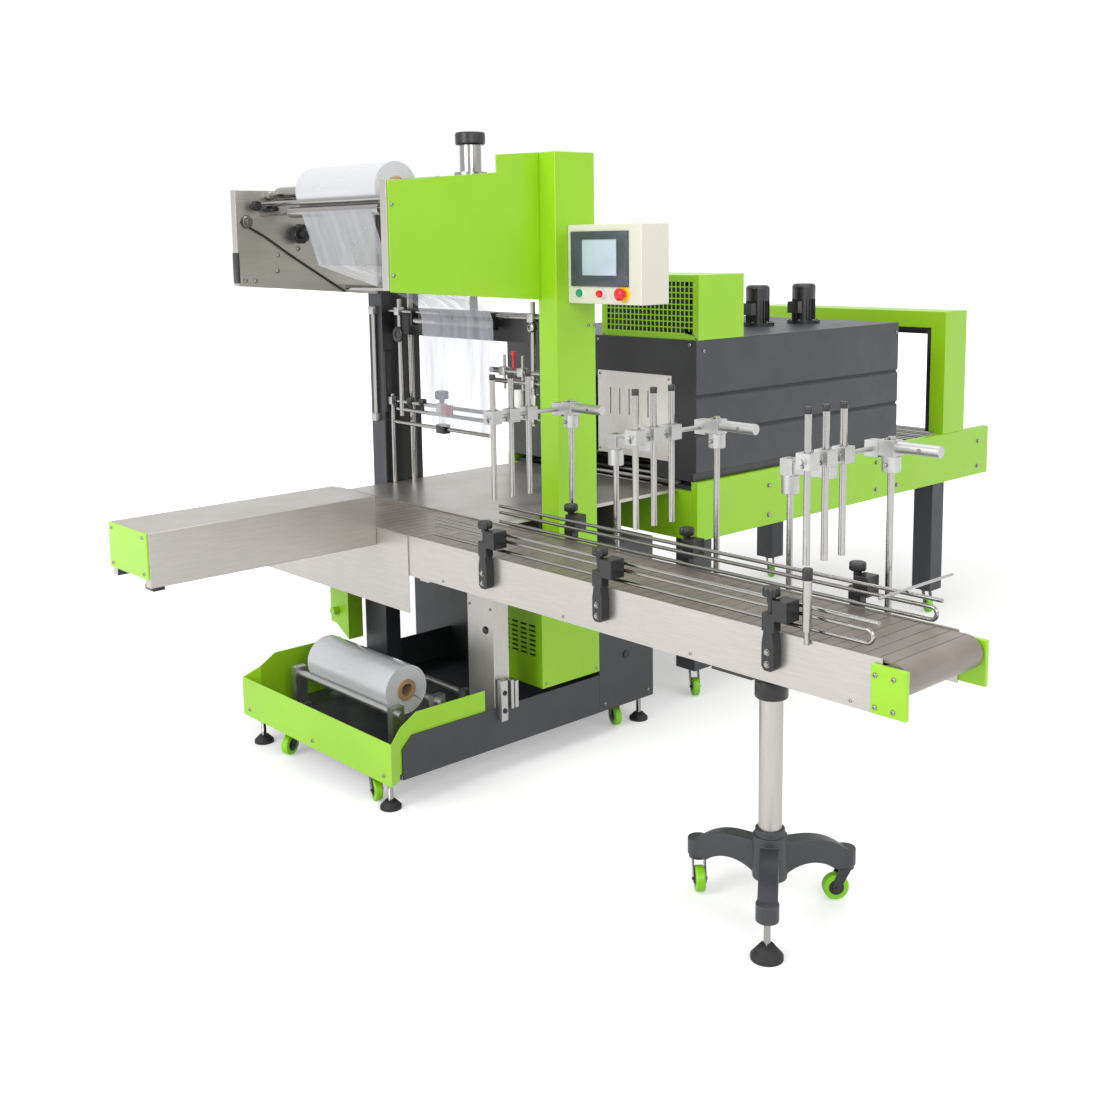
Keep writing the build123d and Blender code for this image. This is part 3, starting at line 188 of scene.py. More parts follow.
def powder_coat(name, color, roughness=0.36, peel=0.2, coat=0.2):
    """Powder coat: fine orange peel, a faint drift of tone and of gloss."""
    shade = Shade(name, color, roughness)
    drift = shade.noise(0.5, 3)
    shade.feed("Base Color", shade.ramp(drift, [(0.3, scaled(color, 0.94)), (0.7, scaled(color, 1.04))]))
    shade.feed("Roughness", shade.spread(shade.noise(0.08, 4), roughness - 0.05, roughness + 0.07))
    fine = shade.bump(shade.noise(0.0022, 2), peel, 0.0004)
    shade.feed("Normal", shade.bump(shade.noise(0.4, 2), 0.06, 0.004, after=fine))
    shade.shader.inputs["Coat Weight"].default_value = coat
    shade.shader.inputs["Coat Roughness"].default_value = 0.2
    return shade.material


def brushed_steel(name, color, along="x", roughness=0.33):
    """Brushed sheet: fine scratches along one axis and soft cloudy wear."""
    shade = Shade(name, color, roughness, 0.85)
    stretch = {"x": (0.02, 1, 1), "y": (1, 0.02, 1), "z": (1, 1, 0.02)}[along]
    grain = shade.noise(0.0016, 3, 0.6, stretch)
    cloud = shade.noise(0.2, 4, 0.6)
    shade.feed("Base Color", shade.ramp(grain, [(0.25, scaled(color, 0.88)), (0.75, scaled(color, 1.08))]))
    shade.feed("Roughness", shade.spread(cloud, roughness - 0.05, roughness + 0.10))
    fine = shade.bump(grain, 0.08, 0.0003)
    shade.feed("Normal", shade.bump(shade.noise(0.3, 2), 0.06, 0.003, after=fine))
    return shade.material


def polished_steel(name, color, roughness=0.16):
    """Ground and polished rod: faint turning marks."""
    shade = Shade(name, color, roughness, 1.0)
    shade.feed("Roughness", shade.spread(shade.noise(0.02, 4), roughness - 0.04, roughness + 0.08))
    shade.feed("Normal", shade.bump(shade.noise(0.0012, 2), 0.04, 0.0002))
    return shade.material


def moulded(name, color, roughness=0.45, grain=0.0012, strength=0.2, drift=0.12):
    """Moulded plastic or rubber with a fine grain."""
    shade = Shade(name, color, roughness)
    tones = [(0.3, scaled(color, 1 - drift)), (0.7, scaled(color, 1 + drift))]
    shade.feed("Base Color", shade.ramp(shade.noise(0.06, 3), tones))
    shade.feed("Roughness", shade.spread(shade.noise(0.03, 3), roughness - 0.06, roughness + 0.08))
    shade.feed("Normal", shade.bump(shade.noise(grain, 2), strength, 0.0003))
    return shade.material


def wound_film(name, origin):
    """Film wound on a roll: glossy, faint bands, and the edges of the turns on its ends."""
    shade = Shade(name, linear(228, 229, 232), 0.22)
    turns = shade.rings(0.0035, origin)
    tones = [(0.2, linear(200, 201, 205)), (0.8, linear(216, 217, 221))]
    shade.feed("Base Color", shade.ramp(turns, tones))
    shade.feed("Roughness", shade.spread(shade.noise(0.05, 3, 0.5, (1, 0.1, 1)), 0.16, 0.34))
    shade.feed("Normal", shade.bump(shade.noise(0.012, 3, 0.5, (1, 0.08, 1)), 0.18, 0.002))
    shade.shader.inputs["Coat Weight"].default_value = 0.4
    return shade.material


def clear_film(name):
    """Thin film: mostly clear, with whiter creases that run along it."""
    shade = Shade(name, linear(172, 176, 184), 0.14)
    creases = shade.noise(0.05, 4, 0.55, (0.35, 1, 0.12))
    shade.feed("Alpha", shade.spread(creases, 0.42, 0.80, 0.35, 0.68))
    shade.feed("Normal", shade.bump(creases, 0.22, 0.006))
    shade.material.surface_render_method = "BLENDED"
    return shade.material


green = powder_coat("green_coat", linear(150, 206, 24))
grey = powder_coat("grey_coat", linear(52, 54, 59), 0.45, coat=0.05)
# The dark coat is the paint of the jaw's bar and the pusher's rail, and also painted shade on the far column and
# in the tunnel
dark = powder_coat("dark_coat", linear(30, 31, 33), 0.42)
beige = powder_coat("beige_coat", linear(218, 215, 202), 0.42)
black_paint = powder_coat("black_coat", linear(26, 27, 29), 0.28)
steel_x = brushed_steel("brushed_x", linear(182, 178, 173), "x")
steel_y = brushed_steel("brushed_y", linear(182, 178, 173), "y")
# The same brushed steel made lighter, so that the entry panel looks lit: painted light
lit_gate_steel = brushed_steel("brushed_gate_lit", linear(226, 222, 216), "z")
steel_z = brushed_steel("brushed_z", linear(182, 179, 175), "z")
polished = polished_steel("polished", linear(158, 156, 153))
bolt_steel = polished_steel("bolt_steel", linear(150, 148, 144), 0.24)
satin_aluminium = polished_steel("satin_aluminium", linear(178, 178, 177), 0.40)
black_plastic = moulded("black_moulding", linear(28, 28, 30), 0.36)
black_rubber = moulded("black_rubber", linear(24, 24, 25), 0.60, 0.002)
green_tyre = moulded("green_tyre", linear(132, 205, 20), 0.42)
slat_plastic = moulded("slat_plastic", linear(128, 119, 112), 0.34)
panel_plastic = moulded("panel_plastic", linear(66, 70, 84), 0.34)
screen_glass = moulded("screen_glass", linear(186, 196, 214), 0.14, 0.004, 0.02, 0.03)
green_lens = moulded("green_lens", linear(8, 150, 104), 0.22, 0.004, 0.02, 0.03)
red_lens = moulded("red_lens", linear(222, 22, 44), 0.24, 0.004, 0.02, 0.03)
yellow_plastic = moulded("yellow_plastic", linear(246, 202, 20), 0.36)
white_plastic = moulded("white_plastic", linear(226, 226, 222), 0.36)
cardboard = moulded("cardboard", linear(172, 138, 104), 0.80, 0.003, 0.4)
upper_film = wound_film("upper_film", (-1.058, 0, 1.790))
lower_film = wound_film("lower_film", (-1.130, 0, 0.265))
film_clear = clear_film("film_clear")

finishes = {
    "green_paint": green, "grey_paint": grey, "stainless": steel_y, "chrome": polished,
    "aluminium": satin_aluminium, "black_plastic": black_plastic, "film": upper_film, "box_paint": beige,
    "motor_paint": black_paint, "slat": slat_plastic, "caster_steel": black_paint, "wheel_rubber": green_tyre,
}
slot_of = {}
for subpart in record["subparts"]:
    members = subpart.get("nodes") or [subpart["node"]]
    for name in members:
        slot_of[name] = subpart["material_slot"]
        nodes[name].data.materials.clear()
        nodes[name].data.materials.append(finishes[subpart["material_slot"]])


# Meshes
FacePlace = namedtuple("FacePlace", "centre normal bottom")


def shown(name, bm, body, materials, bevel=0.0):
    """An object from a bmesh, with rounded edges and even normals, riding on its body."""
    mesh = bpy.data.meshes.new(name)
    bm.to_mesh(mesh)
    bm.free()
    for material in materials:
        mesh.materials.append(material)
    mesh.shade_smooth()
    mesh.set_sharp_from_angle(angle=SMOOTH_ANGLE)
    made = bpy.data.objects.new(name, mesh)
    bpy.context.scene.collection.objects.link(made)
    if bevel:
        rounding = made.modifiers.new("rounding", "BEVEL")
        rounding.width = bevel * MM
        rounding.segments = BEVEL_SEGMENTS
        rounding.limit_method = "ANGLE"
        rounding.angle_limit = BEVEL_ANGLE
        rounding.use_clamp_overlap = False
        even = made.modifiers.new("even", "WEIGHTED_NORMAL")
        even.keep_sharp = False
        ready = made.evaluated_get(bpy.context.evaluated_depsgraph_get())
        made.data = bpy.data.meshes.new_from_object(ready)
        made.modifiers.clear()
    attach(made, body)
    return made


def shell_bottoms(bm):
    """The lowest height of the closed shell that each vertex belongs to."""
    bottoms = {}
    for start in bm.verts:
        if start in bottoms:
            continue
        shell = {start}
        waiting = [start]
        while waiting:
            vert = waiting.pop()
            for link in vert.link_edges:
                other = link.other_vert(vert)
                if other not in shell:
                    shell.add(other)
                    waiting.append(other)
        low = min(vert.co.z for vert in shell)
        bottoms.update(dict.fromkeys(shell, low))
    return bottoms


def skin(node, materials=None, is_second=None, bevel=1.5):
    """A CAD node again with its edges rounded. is_second says which faces get the second material."""
    bm = bmesh.new()
    bm.from_mesh(nodes[node].data)
    bmesh.ops.remove_doubles(bm, verts=bm.verts, dist=WELD)
    bmesh.ops.dissolve_limit(bm, angle_limit=FLAT_ANGLE, verts=bm.verts, edges=bm.edges)
    if is_second:
        bottoms = shell_bottoms(bm)
        for face in bm.faces:
            place = FacePlace(face.calc_center_median() / MM, face.normal, bottoms[face.verts[0]] / MM)
            face.material_index = int(is_second(place))
    slot = slot_of[node]
    made = shown(f"{node}_skin", bm, body_of[node], materials or [finishes[slot]], bevel)
    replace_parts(made, node)


class Kit:
    """Small pieces of one body and one finish, gathered in one mesh. Sizes are in millimetres."""

    def __init__(self):
        self.bm = bmesh.new()

    def box(self, x0, x1, y0, y1, z0, z1, edge=1.0):
        made = bmesh.ops.create_cube(self.bm, size=1.0)["verts"]
        for vert in made:
            vert.co = Vector((x0 + (x1 - x0) * (vert.co.x + 0.5), y0 + (y1 - y0) * (vert.co.y + 0.5),
                              z0 + (z1 - z0) * (vert.co.z + 0.5)))
        edges = {e for v in made for e in v.link_edges}
        bmesh.ops.bevel(self.bm, geom=list(edges), offset=edge, segments=2, profile=0.5, affect="EDGES")

    def turned(self, at, axis, profile, segments=24, lobes=10):
        """A form turned round axis from (radius, height) pairs. A third word makes that ring hex or lobed."""
        turn = Vector(axis).to_track_quat("Z", "Y")
        rings = []
        for radius, height, *kind in profile:
            ring = []
            for i in range(segments if radius else 1):
                angle = 2 * math.pi * i / segments
                reach = radius
                if "hex" in kind:
                    reach = radius * math.cos(math.pi / 6) / math.cos((angle % (math.pi / 3)) - math.pi / 6)
                elif "lobes" in kind:
                    reach = radius * (1 - LOBE_DEPTH * (1 + math.cos(lobes * angle)) / 2)
                spot = Vector((reach * math.cos(angle), reach * math.sin(angle), height))
                ring.append(self.bm.verts.new(Vector(at) + turn @ spot))
            rings.append(ring)
        for low, high in zip(rings, rings[1:]):
            count = max(len(low), len(high))
            for i in range(count):
                loop = [low[i % len(low)], low[(i + 1) % len(low)], high[(i + 1) % len(high)],
                        high[i % len(high)]]
                corners = list(dict.fromkeys(loop))
                if len(corners) > 2:
                    self.bm.faces.new(corners)

    def rod(self, a, b, radius, edge=0.8):
        length = (Vector(b) - Vector(a)).length
        self.turned(a, Vector(b) - Vector(a), [(0, 0), (radius - edge, 0), (radius, edge),
                    (radius, length - edge), (radius - edge, length), (0, length)], 20)

    def screw(self, at, axis, radius):
        """A round head with a hexagon socket."""
        r = radius
        self.turned(at, axis, [(0, 0), (r, 0), (r, 0.2 * r), (0.9 * r, 0.5 * r), (0.62 * r, 0.7 * r),
                    (0.5 * r, 0.72 * r, "hex"), (0.47 * r, 0.3 * r, "hex"), (0, 0.3 * r)])

    def bolt(self, at, axis, radius):
        """A hexagon head on its washer."""
        r = radius
        self.turned(at, axis, [(0, 0), (1.3 * r, 0), (1.3 * r, 0.2 * r), (r, 0.2 * r, "hex"),
                    (r, 0.8 * r, "hex"), (0.85 * r, 0.92 * r, "hex"), (0, 0.92 * r)])

    def knob(self, at, axis, radius, height, neck, lobes=10):
        """A fluted hand knob on its neck."""
        r, h = radius, height
        self.turned(at, axis, [(0, 0), (neck, 0), (neck, 0.35 * h), (0.9 * r, 0.38 * h, "lobes"),
                    (r, 0.46 * h, "lobes"), (r, 0.86 * h, "lobes"), (0.9 * r, 0.97 * h, "lobes"),
                    (0.6 * r, h), (0.3 * r, 0.97 * h), (0, 0.97 * h)], 60, lobes)

    def done(self, name, material, body="frame"):
        bmesh.ops.recalc_face_normals(self.bm, faces=self.bm.faces)
        bmesh.ops.scale(self.bm, vec=(MM, MM, MM), verts=self.bm.verts)
        return shown(name, self.bm, body, [material])


# Painted housings, each with the rounding of its folded edges
EDGE_ROUNDING = {
    "near_column": 2.5, "crosshead": 2, "control_box": 3, "exit_frame": 2.5, "tunnel_beams": 2,
    "lower_cabinet": 2, "unwinder_cover": 1.2, "pusher_end_plate": 1.5, "conveyor_end_plates": 1.5,
    "cable_box": 1.5, "tunnel_legs": 2, "stand_base": 2.5, "lower_bed": 1, "tray_surround": 1,
    "far_post": 1.5, "lower_fan_box": 1, "tunnel_fan_box": 0.8, "guide_brackets": 1.5,
    "guide_clamps": 1, "stand_collar": 1.5,
}


# Heights and widths at which a housing's second finish begins. On the tunnel that dark finish is painted shade in
# its passage and recessed base
JAW_BAR_TOP = 1394
PUSHER_RAIL_TOP = 736
TUNNEL_BASE_TOP = 821
PASSAGE_NEAR_Y = 505
PASSAGE_FAR_Y = 1069
PASSAGE_TOP = 1131


def is_jaw_head(face):
    """The jaw's rod and its joint, above the painted bar."""
    return face.centre.z > JAW_BAR_TOP


def is_rail(face):
    """The dark rail under the pusher's steel housing."""
    return face.centre.z < PUSHER_RAIL_TOP


# Faces turned to the near side. On the far column these get the dark coat as painted shade
def is_shaded_near_side(face):
    return face.normal.y < -0.5


def is_shaded_passage_or_base(face):
    """The walls of the tunnel's passage and the recessed base under the housing, in the dark coat as painted
    shade.
    """
    in_passage = PASSAGE_NEAR_Y < face.centre.y < PASSAGE_FAR_Y and face.centre.z < PASSAGE_TOP
    return in_passage or face.centre.z < TUNNEL_BASE_TOP


def housings():
    for node, rounding in EDGE_ROUNDING.items():
        skin(node, bevel=rounding)
    skin("front_panel", [steel_z])
    # The entry panel in the lighter steel: painted light
    skin("entry_panel", [lit_gate_steel], bevel=0.6)
    skin("seal_table", [steel_x], bevel=1)
    skin("unwinder_plates", [steel_x], bevel=0.8)
    skin("stand_post", [steel_z], bevel=1)
    skin("seal_jaw", [dark, polished], is_jaw_head)
    skin("pusher_housing", [steel_x, dark], is_rail, 2)
    # The far column's near side in the dark coat: painted shade inside the portal
    skin("far_column", [grey, dark], is_shaded_near_side, 2.5)
    # The tunnel's passage walls and recessed base get the dark coat as painted shade
    skin("tunnel_housing", [grey, dark], is_shaded_passage_or_base, 2)


# Film rolls, casters and feet
CORE_OUT = 34
WHEEL_BOTTOM = 12
PAD_TOP = 36
HUB_OUT = 12


def is_card_core(node, x, z):
    """The core's two ends, which stand out past the film, and what lies within its radius."""
    low, high = (corner.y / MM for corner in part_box(node))

    def test(face):
        if abs(face.normal.y) > 0.5:
            return face.centre.y < low + 2 or face.centre.y > high - 2
        return math.hypot(face.centre.x - x, face.centre.z - z) < CORE_OUT
    return test


def is_wheel(face):
    """Wheels reach down to the floor, and their forks don't."""
    return face.bottom < WHEEL_BOTTOM


def is_pad(face):
    return face.centre.z < PAD_TOP


def rolls_and_feet():
    skin("upper_film_roll", [upper_film, cardboard], is_card_core("upper_film_roll", -1058, 1790), 0)
    skin("lower_film_roll", [lower_film, cardboard], is_card_core("lower_film_roll", -1130, 265), 0)
    skin("fixed_casters", [black_paint, green_tyre], is_wheel, 0)
    skin("levelling_feet", [polished, black_rubber], is_pad, 0)


def wheel_hubs():
    """A round cap on each side of every wheel that turns."""
    cap = [(0, 0), (19, 0), (19, 0.5), (17.5, 0.9), (9, 0.9), (8, 0.4), (0, 0.4)]
    for joint in frame["joints"]:
        if joint["name"].endswith("_roll"):
            middle = Vector(joint["pos_m"]) / MM
            axle = Vector(joint["axis"])
            hub = Kit()
            for side in (-1, 1):
                hub.turned(middle + axle * side * HUB_OUT, axle * side, cap, 32)
            hub.done(f"{joint['child']}_hub", black_plastic, joint["child"])


housings()
rolls_and_feet()
wheel_hubs()

# Directions, and the planes of the faces that carry the small pieces
UP = (0, 0, 1)
NEAR = (0, -1, 0)
FAR = (0, 1, 0)
ENTRY = (-1, 0, 0)
NEAR_FACE_Y = 282
FAR_FACE_Y = 1292
COVER_Y = 353
FAN_BOX_X = -14
ENTRY_RIM_X = -25
GATE_X = -29
END_PLATE_XS = ((-1173, -1), (-853, 1))
BRACKET_XS = ((-1187.3, -1), (-838.7, 1))
BRACKET_YS = (-949, -412, 38)
CONVEYOR_SIDE_X = -1161
TRAY_FRONT_X = -1354
FRONT_PANEL_X = -947
PUSHER_END_X = -1905


def cover_and_tunnel_screws(kit):
    for z in (1733, 1535):
        kit.screw((-1229, COVER_Y, z), NEAR, 6)
    for y in (767, 318):
        kit.screw((ENTRY_RIM_X, y, 1264), ENTRY, 6.5)
    for z, y in product((1140, 864), (755, 412)):
        kit.screw((GATE_X, y, z), ENTRY, 5)
    for x, (side, y) in product((14, 1180), ((-1, 288), (1, 1286))):
        kit.screw((x, y, 1242), (0, side, 0), 6.5)
    for y in (300, 746):
        kit.screw((FAN_BOX_X, y, 1287), ENTRY, 3.5)
    for x in (-540, -515):
        kit.screw((x, NEAR_FACE_Y, 1361), NEAR, 5.5)


def beam_bolts(kit):
    sides = ((-1, NEAR_FACE_Y), (1, FAR_FACE_Y))
    for x, z, (side, y) in product((367, 1048, 1818), (728, 618), sides):
        kit.bolt((x, y, z), (0, side, 0), 7.5)
    for z in (728, 618):
        kit.bolt((1195, NEAR_FACE_Y, z), NEAR, 7.5)


def conveyor_screws(kit):
    for y, z, (x, side) in product((-1218, -1262), (733, 664), END_PLATE_XS):
        kit.screw((x, y, z), (side, 0, 0), 5.5)
    for y, z, (x, side) in product(BRACKET_YS, (696, 724), BRACKET_XS):
        kit.bolt((x, y, z), (side, 0, 0), 6)
    for y in (-1150, -700, -259, 250, 700, 1150):
        kit.screw((CONVEYOR_SIDE_X, y, 658), ENTRY, 4)


def base_screws(kit):
    for y in (300, 680, 1060):
        kit.screw((TRAY_FRONT_X, y, 110), ENTRY, 6)
    for z, y in product((200, 520), (300, 400)):
        kit.screw((FRONT_PANEL_X, y, z), ENTRY, 4.5)
    for x, z in product((-740, -520), (242, 566)):
        kit.screw((x, NEAR_FACE_Y, z), NEAR, 4.5)
    for x, z in product((-480, -275), (110, 560)):
        kit.screw((x, NEAR_FACE_Y, z), NEAR, 5)


def housing_screws():
    kit = Kit()
    cover_and_tunnel_screws(kit)
    beam_bolts(kit)
    conveyor_screws(kit)
    base_screws(kit)
    for y, z in product((595, 787), (752, 852)):
        kit.screw((PUSHER_END_X, y, z), ENTRY, 5)
    kit.done("housing_screws", bolt_steel)


def divider_fittings():
    """Clamp bolts and black caps of the divider posts, and the cap of the post at the near side."""
    bolts = Kit()
    caps = Kit()
    cap = [(0, 0), (9, 0), (9.2, 1), (9.2, 13), (8, 15.5), (0, 15.5)]
    near_cap = [(0, 0), (11, 0), (11.5, 1), (11.5, 24), (10, 26), (0, 26)]
    pin = [(0, 0), (5, 0), (5, 6), (4, 7), (0, 7)]
    post_x = -820
    for y in (-1013, -487, 66):
        for x in (-1079, -1013, -947):
            bolts.bolt((x + 12, y + 43, 1158), UP, 4.2)
            bolts.bolt((x - 19, y + 43, 1128), ENTRY, 3.8)
            caps.turned((x, y + 43, 1244), UP, cap)
        bolts.bolt((post_x - 12, y + 6, 1163), UP, 4.2)
        bolts.turned((post_x - 22, y, 1106), ENTRY, pin)
        bolts.bolt((post_x - 14, y - 80, 1147), ENTRY, 3.5)
    bolts.done("clamp_bolts", bolt_steel)
    caps.turned((-1167.3, -1040, 900), UP, near_cap)
    caps.done("post_caps", black_plastic)


def bracket_knobs():
    """Ribbed grips over the brackets' knobs."""
    grips = Kit()
    for y, x in product(BRACKET_YS, (-1174.3, -851.7)):
        grips.knob((x, y, 836), UP, 20.5, 34, 10, 14)
    grips.done("bracket_knobs", black_plastic)


# Touch panel and push buttons, on the face of the control box
BOX_FACE_X = -625
BUTTON_Z = 1466
START_Y, STOP_Y, EMERGENCY_Y = 226, 128, 40


def touch_panel():
    """A frame of four bars round the screen."""
    panel = Kit()
    for y0, y1, z0, z1 in ((20, 262, 1627, 1652), (20, 262, 1487, 1520), (20, 66, 1518, 1629),
                           (214, 262, 1518, 1629)):
        panel.box(BOX_FACE_X - 7, BOX_FACE_X, y0, y1, z0, z1, 1.2)
    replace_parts(panel.done("touch_panel", panel_plastic), "control_panel")
    screen = Kit()
    screen.box(BOX_FACE_X - 4.5, BOX_FACE_X - 0.5, 64, 216, 1516, 1631, 0.6)
    screen.done("touch_screen", screen_glass)


def push_buttons():
    """Start and stop in white collars, and the emergency stop on its yellow plate."""
    start_at, stop_at, emergency_at = ((BOX_FACE_X, y, BUTTON_Z) for y in (START_Y, STOP_Y, EMERGENCY_Y))
    collars = Kit()
    for at in (start_at, stop_at):
        collars.turned(at, ENTRY, [(0, 0), (15, 0), (15, 2), (13.5, 4), (0, 4)], 36)
    collars.turned(stop_at, ENTRY, [(0, 0), (14, 0), (13.5, 12), (12.5, 13), (0, 13)], 36)
    collars.done("button_collars", white_plastic)
    start = Kit()
    start.turned(start_at, ENTRY, [(0, 0), (12, 0), (12, 9), (10.5, 11.5), (5, 12.5), (0, 12.8)], 36)
    start.done("start_button", green_lens)
    stop = Kit()
    stop.turned(stop_at, ENTRY, [(0, 0), (11, 0), (11, 20), (9.5, 23), (4, 24), (0, 24)], 36)
    stop.turned(emergency_at, ENTRY, [(0, 0), (10, 0), (10, 12), (17, 14), (18.5, 19), (18, 25), (14, 28.5),
                (6, 30), (0, 30)], 40)
    stop.done("stop_buttons", red_lens)
    plate = Kit()
    plate.turned(emergency_at, ENTRY, [(0, 0), (25, 0), (25, 2.4), (23, 3.4), (0, 3.4)], 48)
    plate.done("stop_plate", yellow_plastic)


def black_linings_and_grille_shade():
    """Black sheet behind the fan grille as painted shade inside the box, lip inside the exit frame, and edge
    strips of unwinder and pusher.
    """
    lining = Kit()
    # The black sheet behind the fan grille stands in for the shade inside the box: painted shade
    lining.box(-8, -4, 296, 750, 1286, 1494, 0.5)
    for y0, y1, z0, z1 in ((352, 380, 790, 1236), (1194, 1222, 790, 1236), (380, 1194, 1209, 1236)):
        lining.box(1552, 1562, y0, y1, z0, z1, 0.8)
    lining.box(-1247.5, -1239, 1196, 1229, 1500, 1600, 2)
    lining.box(-1885, -1850, 590, 640, 700, 716, 2)
    lining.done("black_linings_and_grille_shade", black_plastic)


def flange_bolts():
    """Six bolts round each blower motor's flange."""
    bolts = Kit()
    count, ring_radius, flange_top = 6, 56, 1294
    for x, y in ((711, 619), (937, 566)):
        for i in range(count):
            angle = math.radians(360 / count * i + 20)
            at = (x + ring_radius * math.cos(angle), y + ring_radius * math.sin(angle), flange_top)
            bolts.bolt(at, UP, 5)
    bolts.done("flange_bolts", bolt_steel)


def latches():
    """Latch of the lower cabinet and round cap of the front panel."""
    latch = Kit()
    latch.turned((-382, NEAR_FACE_Y, 257), NEAR, [(0, 0), (13, 0), (13, 3), (11, 5), (4, 5), (0, 4)], 32)
    latch.turned((FRONT_PANEL_X, 324, 451), ENTRY, [(0, 0), (12, 0), (12, 2), (9, 6), (0, 7)], 32)
    latch.done("latches", black_plastic)


housing_screws()
divider_fittings()
bracket_knobs()
touch_panel()
push_buttons()
black_linings_and_grille_shade()
flange_bolts()
latches()

# Rods, clamps and rollers between the columns, just before the sealing jaw
PORTAL_X = -652
COLUMN_NEAR_Y = 364
COLUMN_FAR_Y = 1210


def portal_rods():
    rods = Kit()
    for y0, y1, z, radius in ((COLUMN_NEAR_Y, COLUMN_FAR_Y, 1385, 7), (COLUMN_NEAR_Y, COLUMN_FAR_Y, 1062, 7),
                              (600, 1160, 1034, 7), (640, COLUMN_FAR_Y, 986, 7)):
        rods.rod((PORTAL_X, y0, z), (PORTAL_X, y1, z), radius)
    for x, y, z0, z1 in ((-684, 1247, 985, 1400), (PORTAL_X, 1134, 1010, 1428), (PORTAL_X, 418, 1040, 1436),
                         (PORTAL_X, 1190, 760, 1086)):
        rods.rod((x, y, z0), (x, y, z1), 8)
    for y0, y1, z, radius in ((609, 1039, 1355, 13), (COLUMN_NEAR_Y, 628, 1209, 10),
                              (COLUMN_NEAR_Y, 616, 1176, 8)):
        rods.rod((PORTAL_X, y0, z), (PORTAL_X, y1, z), radius)
    for y in (470, 560):
        rods.rod((PORTAL_X, y, 1150), (PORTAL_X, y, 1262), 5)
    rods.turned((PORTAL_X - 8, 405, 1356), ENTRY, [(0, 0), (15, 0), (16, 2), (16, 15), (13, 18), (7, 19),
                (6, 14), (0, 14)], 32)
    rods.done("portal_rods", polished)


def portal_clamps():
    clamps = Kit()
    half = 14
    for y, z in ((1134, 1385), (418, 1385), (1190, 1062), (418, 1062), (418, 1176), (560, 1209), (470, 1209)):
        clamps.box(PORTAL_X - 15, PORTAL_X + 11, y - half, y + half, z - half, z + half, 2)
    for z in (1386, 1000):
        clamps.box(-698, -675, 1232, 1262, z - half, z + half, 2)
    clamps.box(PORTAL_X - 12, PORTAL_X + 11, 400, 436, 1090, 1142, 3)
    clamps.done("portal_clamps", satin_aluminium)


def portal_blocks():
    """Black blocks at the roller's ends, on the low rod and on both columns, with the hand knobs."""
    blocks = Kit()
    for y in (601, 1039):
        blocks.box(PORTAL_X - 16, PORTAL_X + 13, y, y + 8, 1338, 1396, 2)
    blocks.box(PORTAL_X - 16, PORTAL_X + 14, 872, 918, 970, 1002, 3)
    blocks.knob((PORTAL_X, 899, 1072), UP, 24, 46, 9, 12)
    blocks.turned((PORTAL_X - 8, 1127, 1303), ENTRY, [(0, 0), (27, 0), (28, 2), (28, 9), (24, 12), (12, 12),
                  (11, 9), (0, 9)], 40)
    for y in (1170, 1080, 1010):
        blocks.knob((PORTAL_X, y, 1041), UP, 15, 40, 6, 10)
    blocks.box(-675, -636, 1198, COLUMN_FAR_Y, 1020, 1240, 2)
    blocks.box(-665, -640, COLUMN_NEAR_Y, COLUMN_NEAR_Y + 12, 1140, 1235, 2)
    blocks.done("portal_blocks", black_plastic)


def portal_rollers():
    rollers = Kit()
    rollers.box(PORTAL_X - 17, PORTAL_X + 13, 884, 914, 1040, 1074, 2)
    rollers.turned((PORTAL_X, 493, 1069), UP, [(0, 0), (14, 0), (15, 2), (15, 80), (14, 82), (0, 82)], 36)
    rollers.done("portal_rollers", white_plastic)


def portal_stops():
    """The red block and the red handle."""
    stops = Kit()
    stops.box(PORTAL_X - 17, PORTAL_X + 13, 852, 883, 1034, 1070, 2)
    stops.turned((PORTAL_X, 515, 1262), UP, [(0, 0), (7, 0), (8, 2), (8, 12), (0, 13)], 24)
    stops.turned((PORTAL_X, 515, 1219), UP, [(0, 0), (4, 0), (4, 44), (0, 44)], 16)
    stops.done("portal_stops", red_lens)


# Hardware on the far plate of the film unwinder
PLATE_Y = 1223
NEAR_PLATE_Y = 357
BIG_KNOB = (-1006, 1660)
STRIP_LINE = ((-1195, 1687), (-1126, 1650), (-1034, 1589), (-818, 1458))
GUIDE_ROLLER = (-1134, 1726)
REEL_SHAFT = (-1058, 1790)


def unwinder_knobs():
    """Fluted knobs, the dark strip and the rollers' black end discs."""
    knobs = Kit()
    for x, z, radius, height in ((-1173, 1752, 17, 46), (-1121, 1736, 18, 66), (-1057, 1777, 20, 96)):
        knobs.knob((x, PLATE_Y, z), NEAR, radius, height, 8)
    big_x, big_z = BIG_KNOB
    knobs.knob((big_x, PLATE_Y, big_z), NEAR, 34, 44, 14, 12)
    knobs.turned((big_x, PLATE_Y - 42, big_z), NEAR, [(0, 0), (17, 0), (17, 24, "lobes"), (15, 30), (11, 31),
                 (10, 27), (0, 27)], 40, 8)
    for (x0, z0), (x1, z1) in zip(STRIP_LINE, STRIP_LINE[1:]):
        knobs.rod((x0, PLATE_Y - 4, z0), (x1, PLATE_Y - 4, z1), 3.6)
    for x, z in (GUIDE_ROLLER, REEL_SHAFT):
        knobs.turned((x, NEAR_PLATE_Y, z), FAR, [(0, 0), (21, 0), (22, 1), (22, 5), (20, 6), (0, 6)], 32)
    knobs.done("unwinder_knobs", black_plastic)


